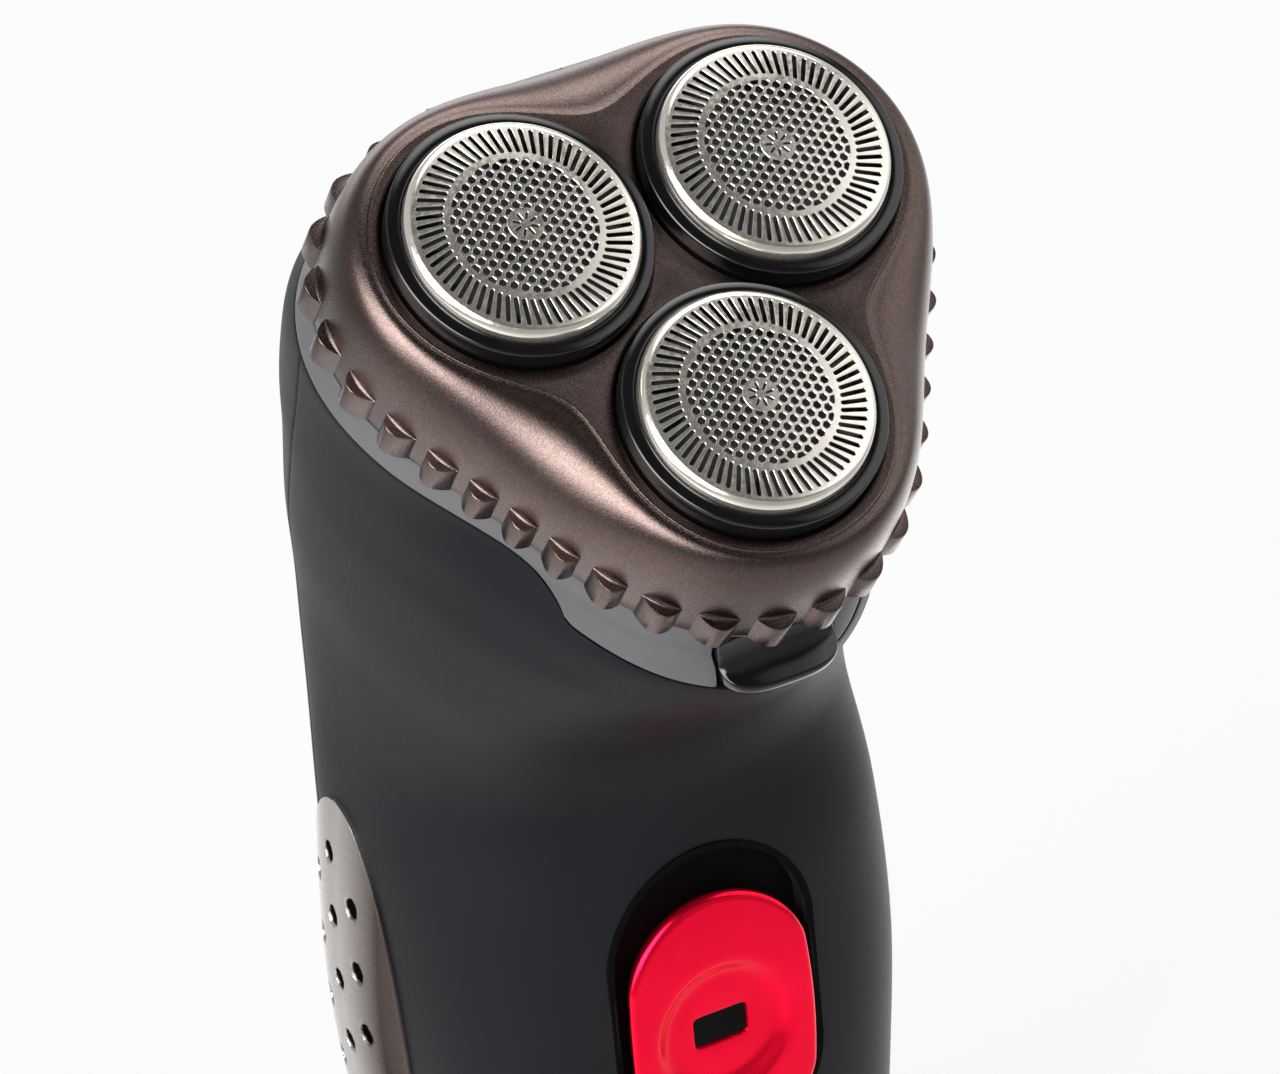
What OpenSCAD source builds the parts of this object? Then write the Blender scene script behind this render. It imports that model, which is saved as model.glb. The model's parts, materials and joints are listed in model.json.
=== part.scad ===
// Cordless rotary shaver with three floating cutter heads, millimetres.
// Origin at the middle of the foot, +Z up, the switch faces -Y.

/* [Handle] */
// Height of the middle of the head above the foot
head_z = 148; // [144:0.5:156]
// How far the middle of the head leans out over the front
head_y = -30; // [-31:0.5:-28]
// Tilt of the shaving head from level
head_tilt = 39; // [37:0.5:41]
// Widest width of the handle
handle_w = 55; // [54:0.5:60]
// Depth of the handle at the switch
handle_d = 45; // [44:0.5:50]
// Wall of the two handle shells
wall = 2; // [1.6:0.1:2.4]
// Height of the foot cap
foot_h = 3; // [2.5:0.1:5]

/* [Head] */
// Distance from the middle of the head to each cutter axis
cutter_pitch = 15; // [14.8:0.1:15.4]
// Radius of a metal guard where it meets its ring
guard_r = 11; // [10:0.1:11.1]
// Slots around each guard
guard_slots = 64; // [40:2:72]
// Width of one guard slot
slot_w = 0.36; // [0.25:0.01:0.42]
// Lean of the guard slots from the radius
slot_lean = 13; // [0:1:20]
// Centre to centre of the small hexagon holes
hex_pitch = 1.04; // [1.02:0.02:1.6]
// Grip ribs around the head cover
grip_ribs = 36; // [24:6:42]
// Height of the ribbed edge of the head cover
rib_h = 4.9; // [4.4:0.1:5.4]
// How far each head sinks under pressure
float_travel = 1.5; // [0.5:0.1:1.6]
// Wall of the head cover
cover_wall = 2; // [1.6:0.1:2.2]

/* [Drive] */
// Radius of the motor can
motor_r = 12; // [9:0.5:13]
// Length of the motor can
motor_len = 28; // [22:0.5:30]
// Teeth of the motor pinion, a multiple of three
pinion_teeth = 12; // [12:3:15]
// Radius of the battery cell
cell_r = 7; // [5:0.25:7.25]
// Length of the battery cell
cell_len = 50; // [40:1:52]

/* [Switch] */
// Width of the switch slider
slider_w = 20.2; // [16:0.2:21]
// Length of the switch slider
slider_len = 30; // [24:0.5:32]
// Height of the slider middle above the foot in the off position
slider_z = 61.6; // [60:0.2:64]
// Travel of the slider from off to on
slider_travel = 4; // [3:0.25:5]
// Width of the head release button
button_w = 15; // [11:0.5:16]
// Travel of the release button
button_travel = 1.2; // [0.8:0.1:1.4]

/* [Hidden] */
$fn = 48;
gap = 0.3;
run = 0.05;
seam = 0.15;
part_n = 40;

// head levels along the head normal, zero at the guard edge
guard_top = 0.9;
plateau_z = -2.5;
under_z = plateau_z - cover_wall;
rib_top = -10;
cover_bot = rib_top - rib_h;
collar_top = cover_bot - gap;
ring_r = guard_r + 1.2;
bore_r = ring_r + gap;
flange_r = min(bore_r + 0.3, cutter_pitch * sin(60) - 0.15);
flange_top = under_z - gap;
flange_bot = flange_top - 1.2;
frame_top = flange_bot - float_travel - 0.5;
frame_bot = frame_top - 1.5;
hub_bot = flange_bot - 0.9;
tip_top = hub_bot + 1.5;
flange_up = min(frame_bot, hub_bot - float_travel) - 0.6;
deck_top = collar_top - 3;
deck_bot = deck_top - 1.8;
boss_top = deck_top + 1.7;
gear_top = deck_bot - 3;
gear_bot = gear_top - 3;
plate_top = gear_bot - 2.4;
plate_bot = plate_top - 1.6;
can_bot = plate_bot - motor_len;
edge_z = collar_top - 3.6;
apron_z = edge_z - 3.8;

// gear sizes follow the cutter spacing
gear_teeth = 4 * pinion_teeth;
gear_mod = 2 * cutter_pitch / (pinion_teeth + gear_teeth);
head_a = [270, 150, 30];

// posts, screws and shafts of the head and the drive
post_a = [90, 210, 330];
post_c = 18;
post_r = 1.9;
stud_r = 1.8;
screw_c = 16.5;
screw_r = 0.85;
spindle_r = 1.5;
pivot_r = 1.2;
shaft_r = 1;
washer_r = 2.7;
cup_r = 10.6;
cutter_base = -1.9;

// hinge behind the head
hinge_y = 27.5;
ear_x = 7;
ear_w = 4;
ear_root = 23.6;
hinge_z = collar_top - 1.2;
pin_r = 0.9;
knuckle_r = 1.9;

// switch levels through the front wall
kw = handle_w / 55;
kd = handle_d / 45;
face_y = -22.4 * kd;
floor_y = face_y + 2.6;
recess_w = slider_w + 1.1;
recess_len = slider_len + slider_travel + 1;
recess_z = slider_z + slider_travel / 2;
lining = 0.7;
board_y = floor_y + 7.4;
board_t = 1.6;
board_w = 28;
board_z = 24;
board_len = 62;
board_post = 10;
board_low = 28;
tongue_w = 5.8;
window_w = 5.8;
window_h = 3.4;
cell_y = 9;
cell_z = 22;

// release button, an arc about a point behind the front wall
button_c = -16.5;
button_r = 20;
button_in = 12.2;
button_h = 4;
button_z = deck_bot - 0.6;

// foot with the charging inlet and two screws
inlet_w = 12;
inlet_d = 8;
inlet_y = -7;
pin_x = 2.2;
foot_screw_x = 13;
foot_screw_y = 2;
foot_screw_r = 1.2;

// front y and z, rear y and z, half width, corner power, share of head outline
function hy(y, z) = head_y + y * cos(head_tilt) - z * sin(head_tilt);
function hz(y, z) = head_z + y * sin(head_tilt) + z * cos(head_tilt);
stations = [
  [-17, foot_h, 18, foot_h, 21, 2.5, 0],
  [-20.3, 25, 21, 25, 24.2, 2.5, 0],
  [-21.9, 45, 22.3, 45, 26.4, 2.5, 0],
  [-22.6, 60, 22.8, 62, 27.5, 2.5, 0],
  [-22.4, 75, 23.6, 80, 26.9, 2.5, 0],
  [-20.8, 85, 24.2, 94, 25.8, 2.55, 0.03],
  [-21.3, 90, 23.8, 102, 25.6, 2.6, 0.06],
  [-24.7, 95.5, 22.5, 111, 26, 2.6, 0.12],
  [-30.3, 100.5, 20.1, 120.7, 27, 2.6, 0.25],
  [-37.3, 105.5, 16.6, 131.2, 28.2, 2.6, 0.45],
  [-40, 107.8, 15, 137, 28.8, 2.55, 0.57],
  [-42, 110, 12.2, 142.1, 29.1, 2.45, 0.7],
  [-42.3, 112, 7.8, 146.8, 28.9, 2.3, 0.86]
];
last_row = len(stations) - 1;
// the neck keeps the outline of the head, so width and depth change only below it
function row(i) = let (s = stations[i], dz = head_z - 148, dy = head_y + 30, t = s[1] / 112,
    k = max(0, 1 - 2 * s[6]), kx = 1 + (kw - 1) * k, ky = 1 + (kd - 1) * k)
  [s[0] * ky + dy * t, s[1] + dz * t, s[2] * ky + dy * t, s[3] + dz * t, s[4] * kx, s[5], s[6]];
function head_row(z, f, b, w) = [hy(f, z), hz(f, z), hy(b, z), hz(b, z), w, 2, 1];
rows = concat([for (i = [0:last_row]) row(i)],
  [head_row(edge_z, -30.9, 26.1, 28.3), head_row(collar_top, -31, 25, 27.8)]);

function rim(a) = 27.7 + 3.25 * cos(3 * (a - 270));
function power(a, n) = pow(pow(abs(cos(a)), n) + pow(abs(sin(a)), n), -1 / n);
rim_w = 27.28;
rim_front = -30.95;
rim_rear = 25.1;
function tre_x(a) = rim(a) * cos(a) / rim_w;
function tre_v(a) = (rim(a) * sin(a) * 2 - rim_rear - rim_front) / (rim_rear - rim_front);
function ring_pts(s, d) = let (
    len = sqrt(pow(s[2] - s[0], 2) + pow(s[3] - s[1], 2)), k = (len / 2 - d) / (len / 2))
  [for (j = [0:part_n - 1]) let (a = 360 * j / part_n, p = power(a, s[5]),
    x = (1 - s[6]) * p * cos(a) + s[6] * tre_x(a),
    v = ((1 - s[6]) * p * sin(a) + s[6] * tre_v(a)) * k)
    [x * (s[4] - d), (s[0] + s[2]) / 2 + v * (s[2] - s[0]) / 2,
     (s[1] + s[3]) / 2 + v * (s[3] - s[1]) / 2]];

// skin through a list of equal rings, closed by a fan at each end
module skin(rings) {
  n = len(rings[0]);
  m = len(rings);
  pts = concat([for (r = rings) for (p = r) p],
    [mid(rings[0]), mid(rings[m - 1])]);
  polyhedron(pts, concat(
    [for (i = [0:m - 2]) for (j = [0:n - 1]) [i * n + j, (i + 1) * n + j, i * n + (j + 1) % n]],
    [for (i = [0:m - 2]) for (j = [0:n - 1])
      [i * n + (j + 1) % n, (i + 1) * n + j, (i + 1) * n + (j + 1) % n]],
    [for (j = [0:n - 1]) [m * n, j, (j + 1) % n]],
    [for (j = [0:n - 1]) [m * n + 1, (m - 1) * n + (j + 1) % n, (m - 1) * n + j]]), 4);
}
function mid(r) = [for (k = [0:2]) sum([for (p = r) p[k]]) / len(r)];
function sum(v, i = 0) = i >= len(v) ? 0 : v[i] + sum(v, i + 1);

// handle body drawn in by d, between two rows of the list above
module body(d, from, to) skin([for (i = [from:to]) ring_pts(rows[i], d)]);

// the same body reaching a little past both ends
module body_long(d, from, to, low, high) skin(concat(
  low > 0 ? [[for (p = ring_pts(rows[from], d)) [p[0], p[1], p[2] - low]]] : [],
  [for (i = [from:to]) ring_pts(rows[i], d)],
  high > 0 ? [[for (p = ring_pts(rows[to], d))
    [p[0], p[1] - high * sin(head_tilt), p[2] + high * cos(head_tilt)]]] : []));

module head() translate([0, head_y, head_z]) rotate([head_tilt, 0, 0]) children();
module at_head(i) head() rotate(head_a[i]) translate([cutter_pitch, 0, 0]) children();
module slab(z0, z1, s = 90) translate([-s / 2, -s / 2, z0]) cube([s, s, z1 - z0]);

// space above the lower edge of the collar, with the deeper apron at the front
module collar_space(d) head() {
  slab(edge_z + d, 20);
  rotate([90, 0, 0]) linear_extrude(60)
    polygon([[-21, 0], [-21, edge_z + d], [-18.6 + d, edge_z + d - 0.3], [-17.4 + d, edge_z + d - 1.4],
      [-16.9 + d, apron_z + d + 0.5], [-16 + d, apron_z + d], [16 - d, apron_z + d],
      [16.9 - d, apron_z + d + 0.5], [17.4 - d, edge_z + d - 1.4], [18.6 - d, edge_z + d - 0.3],
      [21, edge_z + d], [21, 0]]);
}

// front half of the handle, up to the side seam
module front_space(d) rotate([90, 0, 90]) linear_extrude(120, center = true)
  polygon(concat([[-90, -5], [5 - d, -5]],
    [for (p = [[6, 25], [7, 50], [8.5, 70], [10, 83], [11.2, 91.5], [10.9, 98], [10.3, 103],
      [6.6, 114], [3.4, 119.5], [-0.4, 125], [-5.6, 133], [-8.6, 138]]) [p[0] - d, p[1]]],
    [[-20 - d, 160], [-90, 160]]));

module stadium(w, l) {
  square([w, l - w], center = true);
  for (s = [-1, 1]) translate([0, s * (l - w) / 2]) circle(w / 2);
}
// upright stadium block facing the front, between two depths
module plug(w, l, z, y0, y1) translate([0, y1, z]) rotate([90, 0, 0])
  linear_extrude(y1 - y0) stadium(w, l);

// outline of the side grip, as a lens in the side view
grip_z = 58;
grip_half = 25;
grip_y = 6.6;
grip_w = 9.6;
function grip_v(t, d) = max(0.5, grip_w * (1 - t * t)) + d;
module grip_hole() for (s = [-1, 1]) scale([s, 1, 1]) rotate([90, 0, 90]) translate([0, 0, 8])
  linear_extrude(40) polygon(concat(
    [for (i = [-8:8]) [grip_y - grip_v(i / 8, seam), grip_z + i / 8 * (grip_half + seam)]],
    [for (i = [-8:8]) [grip_y + grip_v(-i / 8, seam), grip_z - i / 8 * (grip_half + seam)]]));
// half width of the handle at a point of its side
function side_at(y, z, k) = lookup(z, [for (i = [0:5]) [(rows[i][1] + rows[i][3]) / 2, rows[i][k]]]);
function side_x(y, z) = let (
    f = side_at(y, z, 0), b = side_at(y, z, 2),
    z2 = z - (y - (f + b) / 2) / (b - f) * (side_at(y, z, 3) - side_at(y, z, 1)),
    f2 = side_at(y, z2, 0), b2 = side_at(y, z2, 2), v = min(0.999, abs(y - (f2 + b2) / 2) / (b2 - f2) * 2))
  side_at(y, z2, 4) * pow(1 - pow(v, 2.5), 0.4);

module gear(teeth, h, bore) linear_extrude(h) difference() {
  m = gear_mod;
  rp = teeth * m / 2;
  rb = rp * cos(20);
  ra = rp + 0.85 * m;
  half = 90 / teeth - 0.06 / rp * 180 / PI + (tan(20) * 180 / PI - 20);
  steps = [for (k = [0:4]) rb + (ra - rb) * k / 4];
  inv = [for (r = steps) let (al = acos(rb / r)) tan(al) * 180 / PI - al];
  polygon([for (t = [0:teeth - 1]) let (c = 360 * t / teeth) for (p = concat(
      [[rp - 1.2 * m, c - half - 0.5 * 45 / teeth]],
      [for (k = [0:4]) [steps[k], c - half + inv[k]]],
      [for (k = [4:-1:0]) [steps[k], c + half - inv[k]]],
      [[rp - 1.2 * m, c + half + 0.5 * 45 / teeth]]))
    [p[0] * cos(p[1]), p[0] * sin(p[1])]]);
  circle(bore);
}

// small coil spring standing on z = 0
module coil(r, wire, turns, h) {
  steps = turns * 12;
  skin([for (i = [0:steps]) let (a = 30 * i, z = wire + (h - 2 * wire) * i / steps)
    [for (k = [0:5]) let (b = -60 * k)
      [(r + wire * cos(b)) * cos(a), (r + wire * cos(b)) * sin(a), z + wire * sin(b)]]]);
}

// Sub-part to draw

// shoulder line of the head cover, a quarter round from the flat top to the ribbed edge
function crease(a) = let (c = cos(3 * (a - 270)), c2 = cos(6 * (a - 270))) 23.6 + 5.65 * c - 0.6 * c2;
function cover_ring(t, d) = [for (j = [0:71]) let (a = 5 * j + d, c = crease(a),
    r = c + (rim(a) - c) * sin(90 * t) - d * (0.3 + 0.7 * t))
  [r * cos(a), r * sin(a), plateau_z - d - (plateau_z - rib_top + 0.8) * (1 - cos(90 * t))]];
function flat_ring(z, d) = [for (j = [0:71]) let (a = 5 * j + d, r = rim(a) - d)
  [r * cos(a), r * sin(a), z]];

module head_cover() color("#4b3e3a") head() difference() {
  union() {
    skin(concat([[for (p = flat_ring(rib_top - 1.6, 0)) [p[0] * 0.98, p[1] * 0.98, p[2]]]],
      [for (t = [1:-0.166:0.1]) cover_ring(t, 0)], [cover_ring(0, 0)]));
    translate([0, 0, cover_bot]) linear_extrude(rib_h) polygon([for (k = [0:grip_ribs - 1])
      for (u = [-0.5, -0.37, -0.19, 0, 0.19, 0.37]) let (a = 5 + (k + u) * 360 / grip_ribs,
        r = rim(a) + 0.1 + 1.25 * max(0, 1 - pow(u / 0.37, 2))) [r * cos(a), r * sin(a)]]);
    for (s = [-1, 1]) translate([s * ear_x - ear_w / 2, 0, 0]) rotate([90, 0, 90]) linear_extrude(ear_w) {
      translate([hinge_y, hinge_z]) circle(knuckle_r);
      polygon([[ear_root, rib_top - 2], [hinge_y + 0.3, hinge_z + knuckle_r + 0.6],
        [hinge_y + knuckle_r - 0.05, hinge_z], [hinge_y - 1, hinge_z + 1.55], [ear_root, cover_bot + 0.2]]);
    }
  }
  difference() {
    skin(concat([flat_ring(cover_bot - 3, cover_wall)], [flat_ring(rib_top - 2.6, cover_wall)],
      [for (t = [0.9, 0.72, 0.5, 0.25]) cover_ring(t, cover_wall)], [cover_ring(0, cover_wall)]));
    cylinder(r = stud_r, h = 20, center = true);
    for (a = post_a) rotate(a) translate([post_c, 0, frame_top]) cylinder(r = post_r, h = 12);
  }
  for (a = head_a) rotate(a) translate([cutter_pitch, 0, -8]) rotate(50)
    cylinder(r = bore_r, h = 10, $fn = 72);
  translate([-20, hinge_y, hinge_z]) rotate([0, 90, 0]) cylinder(r = pin_r + run, h = 40);
  slab(-40, frame_bot - 1.5, 6);
}

module cutter_frame() color("#232427") head() translate([0, 0, frame_bot])
  linear_extrude(frame_top - frame_bot) difference() {
    union() {
      for (a = head_a) rotate(a) translate([cutter_pitch, 0]) difference() {
        circle(cup_r);
        for (k = [0:2]) rotate(60 + 120 * k) translate([6.9, 0]) circle(2.3);
      }
      circle(9);
      for (a = post_a) rotate(a) translate([6, -2.4]) square([14, 4.8]);
    }
    for (a = head_a) rotate(a) translate([cutter_pitch, 0]) circle(3.9);
    circle(stud_r + run);
  }

module lock_knob() color("#3a3c40") head() translate([0, 0, frame_bot - gap - 2.4]) difference() {
  linear_extrude(2.4) difference() {
    union() {
      circle(3.2);
      square([11, 2.6], center = true);
    }
    circle(0.6);
  }
  translate([0, 0, 1]) cylinder(r = stud_r + run, h = 3);
}

module guard_ring(i) color("#0b0c0e") at_head(i) rotate_extrude($fn = 72) polygon([
  [guard_r + 0.02, flange_bot], [flange_r, flange_bot], [flange_r, flange_top], [ring_r, flange_top],
  [ring_r, -1.3], [ring_r - 0.1, -0.85], [ring_r - 0.35, -0.5], [ring_r - 0.7, -0.35],
  [guard_r + 0.02, -0.35]]);

foil_t = 0.35;
hex_r = 0.645 * guard_r;
slot_r0 = 0.67 * guard_r;
slot_r1 = 0.89 * guard_r;
module guard_foil(i) color("#d8d0c4") at_head(i) {
  difference() {
    rotate_extrude($fn = 72) polygon([[guard_r - 0.4, flange_bot + 0.2], [guard_r, flange_bot + 0.2],
      [guard_r, -0.1], [guard_r - 0.1, 0.3], [guard_r - 0.35, 0.62], [guard_r - 0.7, 0.82],
      [guard_r - 1.1, guard_top], [hex_r - 0.15, guard_top], [hex_r - 0.15, guard_top - foil_t],
      [guard_r - 1.2, guard_top - foil_t], [guard_r - 0.75, guard_top - 0.6], [guard_r - 0.5, 0],
      [guard_r - 0.4, -0.4]]);
    linear_extrude(3) for (k = [0:guard_slots - 1]) rotate(360 * k / guard_slots)
      translate([(slot_r0 + slot_r1) / 2, 0]) rotate(slot_lean)
        square([slot_r1 - slot_r0, slot_w], center = true);
  }
  translate([0, 0, guard_top - 0.5]) linear_extrude(0.3) difference() {
    circle(hex_r + 0.05, $fn = 72);
    span = ceil(hex_r / hex_pitch / 0.866);
    for (u = [-span:span]) for (v = [-span:span]) {
      x = (u + v / 2) * hex_pitch;
      y = v * hex_pitch * sqrt(3) / 2;
      r = sqrt(x * x + y * y);
      if (r < hex_r - 0.55 * hex_pitch && r > 1.45) translate([x, y])
        rotate(30) circle(0.41 * hex_pitch, $fn = 6);
    }
  }
}

module cutter(i) color("#b9bcc0") at_head(i) translate([0, 0, cutter_base]) {
  cylinder(r = slot_r1 - 0.1, h = 0.6);
  for (k = [0:14]) rotate(24 * k) translate([slot_r0 + 0.1, -0.25, 0.3])
    cube([slot_r1 - slot_r0 - 0.3, 0.5, guard_top - foil_t - gap - cutter_base - 0.3]);
}
module cutter_hub(i) color("#d9d7cf") at_head(i) rotate(-head_a[i]) difference() {
  translate([0, 0, hub_bot]) cylinder(r = 3.3, h = cutter_base - hub_bot);
  translate([-2.1, -1.3, hub_bot - 1]) cube([4.2, 2.6, 4.5 + float_travel - 0.1]);
}

module neck_collar() color("#5d5f62") difference() {
  union() {
    intersection() {
      body(0, 8, last_row + 2);
      collar_space(0);
    }
    intersection() {
      body(wall + 0.3, 8, last_row + 2);
      head() slab(deck_bot - 1.4, 20);
    }
    head() rotate([90, 0, 90]) linear_extrude(2 * ear_x - ear_w - 2 * gap, center = true) {
      translate([hinge_y, hinge_z]) circle(knuckle_r);
      polygon([[ear_root + 0.2, collar_top - 0.1], [hinge_y - 0.6, hinge_z + 1.7],
        [hinge_y, hinge_z - knuckle_r], [ear_root + 0.2, hinge_z - 1.8]]);
    }
  }
  difference() {
    body_long(wall + 1.8, 8, last_row + 2, 0, 2);
    head() difference() {
      slab(deck_bot - 1.4, deck_bot);
      linear_extrude(80, center = true) offset_rim(5.6);
    }
  }
  head() translate([-button_w / 2 - gap, -40, button_z - gap])
    cube([button_w + 2 * gap, 20, button_h + 2 * gap]);
  head() translate([-20, hinge_y, hinge_z]) rotate([0, 90, 0]) cylinder(r = pin_r + run, h = 40);
}
module offset_rim(d) polygon([for (j = [0:71]) let (a = 5 * j, r = rim(a) - d) [r * cos(a), r * sin(a)]]);

module drive_deck() color("#c9c8c2") head() {
  difference() {
    union() {
      translate([0, 0, deck_bot]) linear_extrude(deck_top - deck_bot) offset_rim(4.6);
      for (a = head_a) rotate(a) translate([cutter_pitch, 0, deck_bot])
        cylinder(r = 4, h = boss_top - deck_bot);
      translate([-2.2, -23.4, deck_bot]) cube([4.4, 1.4, deck_top - deck_bot + 3]);
    }
    for (a = head_a) rotate(a) translate([cutter_pitch, 0, -50]) cylinder(r = spindle_r + run, h = 60);
    for (a = post_a) rotate(a) translate([screw_c, 0, -50]) cylinder(r = screw_r + 0.25, h = 60);
  }
}

module gearbox_plate() color("#d6d4cc") head() difference() {
  union() {
    translate([0, 0, plate_bot]) cylinder(r = 19, h = plate_top - plate_bot);
    for (a = post_a) rotate(a) translate([screw_c, 0, plate_bot]) cylinder(r = 2.1, h = deck_bot - plate_bot);
  }
  translate([0, 0, plate_bot - 1]) cylinder(r = 3.4, h = 10);
  for (a = head_a) rotate(a) translate([cutter_pitch, 0, plate_bot - 1]) cylinder(r = pivot_r + run, h = 10);
  for (a = post_a) rotate(a) translate([screw_c, 0, deck_bot - 4]) cylinder(r = screw_r, h = 10);
}

module drive_gear(i) color("#f0eee6") at_head(i) rotate(-head_a[i] + 180 / gear_teeth) {
  translate([0, 0, gear_bot]) gear(gear_teeth, gear_top - gear_bot, spindle_r + 0.02);
  difference() {
    union() {
      translate([0, 0, plate_top + gap]) cylinder(r = 3.2, h = gear_bot - plate_top - gap);
      translate([0, 0, gear_top]) cylinder(r = 3.2, h = 1.6);
    }
    translate([0, 0, gear_bot - 10]) cylinder(r = spindle_r + 0.02, h = 30);
  }
}
module drive_spindle(i) color("#b7babd") at_head(i) rotate(-head_a[i]) {
  rotate_extrude() polygon([[0, plate_bot + gap], [pivot_r, plate_bot + gap], [pivot_r, plate_top + gap],
    [spindle_r, plate_top + gap], [spindle_r, boss_top + gap], [washer_r, boss_top + gap],
    [washer_r, boss_top + gap + 0.6], [spindle_r, boss_top + gap + 0.6], [spindle_r, flange_up - 0.8],
    [washer_r, flange_up - 0.8], [washer_r, flange_up], [0, flange_up]]);
  translate([-spindle_r, -0.7, flange_up - 0.2]) cube([2 * spindle_r, 1.4, tip_top - flange_up + 0.2]);
}
module spindle_spring(i) color("#9fa3a7") at_head(i) translate([0, 0, boss_top + gap + 0.62])
  coil(2.1, 0.25, 3, flange_up - 0.8 - boss_top - gap - 0.64);

module motor_can() color("#a9acb0") head() difference() {
  translate([0, 0, can_bot]) cylinder(r = motor_r, h = motor_len);
  translate([0, 0, can_bot - 1]) cylinder(r = motor_r - 1, h = motor_len - 0.5);
  translate([0, 0, plate_bot - 5]) cylinder(r = shaft_r + run, h = 10);
}
module motor_end_cap() color("#1c1d20") head() difference() {
  union() {
    translate([0, 0, can_bot - 2]) cylinder(r = motor_r, h = 2);
    translate([0, 0, can_bot - 4]) cylinder(r = 3.5, h = 3);
    for (s = [-1, 1]) translate([s * 7 - 1.2, -0.3, can_bot - 5]) cube([2.4, 0.6, 4]);
  }
  translate([0, 0, can_bot - 10]) cylinder(r = shaft_r + run, h = 20);
}
module motor_rotor() color("#8a5a3a") head() {
  translate([0, 0, can_bot - 3.5]) cylinder(r = shaft_r, h = gear_top + 0.4 - can_bot + 3.5);
  translate([0, 0, can_bot + 4]) cylinder(r = motor_r - 2.6, h = motor_len - 10);
}
module pinion() color("#c8a24a") head() translate([0, 0, gear_bot - 0.2])
  gear(pinion_teeth, gear_top - gear_bot + 0.4, shaft_r + 0.01);

module front_shell() color("#2b2c30") difference() {
  intersection() {
    body(0, 0, last_row + 1);
    front_space(0);
  }
  body_long(wall, 0, last_row + 1, 2, 2);
  collar_space(-seam);
  plug(recess_w + 2 * lining + 0.3, recess_len + 2 * lining + 0.3, recess_z, -60, 0);
  plug(recess_w + 6.3, recess_len + 6.3, recess_z, floor_y - 0.1, 0);
  grip_hole();
}
module rear_shell() color("#2b2c30") difference() {
  body(0, 0, last_row + 1);
  front_space(-seam);
  body_long(wall, 0, last_row + 1, 2, 2);
  collar_space(-seam);
  head() translate([-10, hinge_y - 2.6, hinge_z - 2.3]) cube([20, 6, 6]);
  grip_hole();
}

module grip(s) color("#8d8379") scale([s, 1, 1]) {
  nz = 16;
  ny = 8;
  skin([for (i = [0:nz]) let (t = i * 2 / nz - 1, h = grip_v(t, 0), z = grip_z + t * grip_half) concat(
    [for (j = [0:ny]) let (v = j * 2 / ny - 1, y = grip_y + v * h)
      [side_x(y, z) - 2.4, y, z]],
    [for (j = [ny:-1:0]) let (v = j * 2 / ny - 1, y = grip_y + v * h)
      [side_x(y, z) + 0.25 + 1.1 * (1 - v * v) * (1 - t * t), y, z]])]);
}
module left_grip() grip(-1);
module right_grip() grip(1);

module switch_track() color("#0b0c0e") difference() {
  union() {
    plug(recess_w + 6, recess_len + 6, recess_z, floor_y, floor_y + 1.3);
    plug(recess_w + 2 * lining, recess_len + 2 * lining, recess_z, face_y + 0.7, floor_y + 0.6);
    for (x = [-board_post, board_post]) for (z = [-14, 14]) translate([x, board_y, recess_z + z])
      rotate([90, 0, 0]) cylinder(r = 1.8, h = board_y - floor_y - 0.5);
  }
  plug(recess_w, recess_len, recess_z, -60, floor_y);
  translate([-tongue_w / 2 - 0.5, floor_y - 1, slider_z - tongue_w / 2 - 0.5])
    cube([tongue_w + 1, 4, tongue_w + 1 + slider_travel]);
}
module switch_slider() color("#c4122e") difference() {
  union() {
    plug(slider_w, slider_len, slider_z, face_y - 0.2, floor_y - gap);
    plug(slider_w - 1.2, slider_len - 1.2, slider_z, face_y - 1, floor_y - gap - 0.5);
  }
  translate([0, face_y - 1 - 38.2, slider_z]) sphere(r = 39.1, $fn = 96);
  translate([-window_w / 2, -60, slider_z - window_h / 2]) cube([window_w, 80, window_h]);
}
module slider_window() color("#141517")
  translate([0.1 - window_w / 2, face_y + 0.6, slider_z + 0.1 - window_h / 2])
  cube([window_w - 0.2, floor_y - gap - face_y - 0.6, window_h - 0.2]);
module slider_tongue() color("#3a3c40") translate([-tongue_w / 2, floor_y - gap, slider_z - tongue_w / 2])
  cube([tongue_w, 4.4, tongue_w]);
module micro_switch() color("#50535a") {
  translate([-4, board_y - 2.6, slider_z - 6]) cube([8, 2.6, 16]);
}
module circuit_board() color("#1d5a38") difference() {
  translate([-board_w / 2, board_y, board_z]) cube([board_w, board_t, board_len]);
  for (x = [-board_post, board_post]) translate([x, 0, board_low]) rotate([90, 0, 0])
    cylinder(r = 1.2, h = 60, center = true);
}
module inner_chassis() color("#6d7075") {
  difference() {
    union() {
      translate([-board_w / 2 - 1, 0, foot_h])
        cube([board_w + 2, cell_y - cell_r - 0.1, board_z + board_len + 1 - foot_h]);
      for (z = [cell_z + 8, cell_z + cell_len - 14]) translate([0, cell_y, z])
        cylinder(r = cell_r + 1.6, h = 6);
      for (x = [-board_post, board_post]) for (z = [board_low, board_low + 52]) translate([x, 0.5, z])
        rotate([90, 0, 0]) cylinder(r = 2, h = 0.5 - board_y - board_t);
      translate([-9, 0, cell_z - 4]) cube([18, cell_y + 6, 3]);
      for (s = [-1, 1]) translate([s * foot_screw_x, foot_screw_y, foot_h]) cylinder(r = 2.6, h = 6);
    }
    for (s = [-1, 1]) translate([s * foot_screw_x, foot_screw_y, foot_h - 1])
      cylinder(r = foot_screw_r + 0.02, h = 6);
    translate([0, cell_y, cell_z - 0.5]) cylinder(r = cell_r + 0.05, h = cell_len + 40);
    translate([-40, cell_y + 2, cell_z - 0.5]) cube([80, 20, cell_len + 40]);
  }
}
module battery() color("#3f7f5a") translate([0, cell_y, cell_z - 0.4]) {
  cylinder(r = cell_r, h = cell_len);
  translate([0, 0, cell_len]) cylinder(r = 2.8, h = 1);
}
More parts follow.
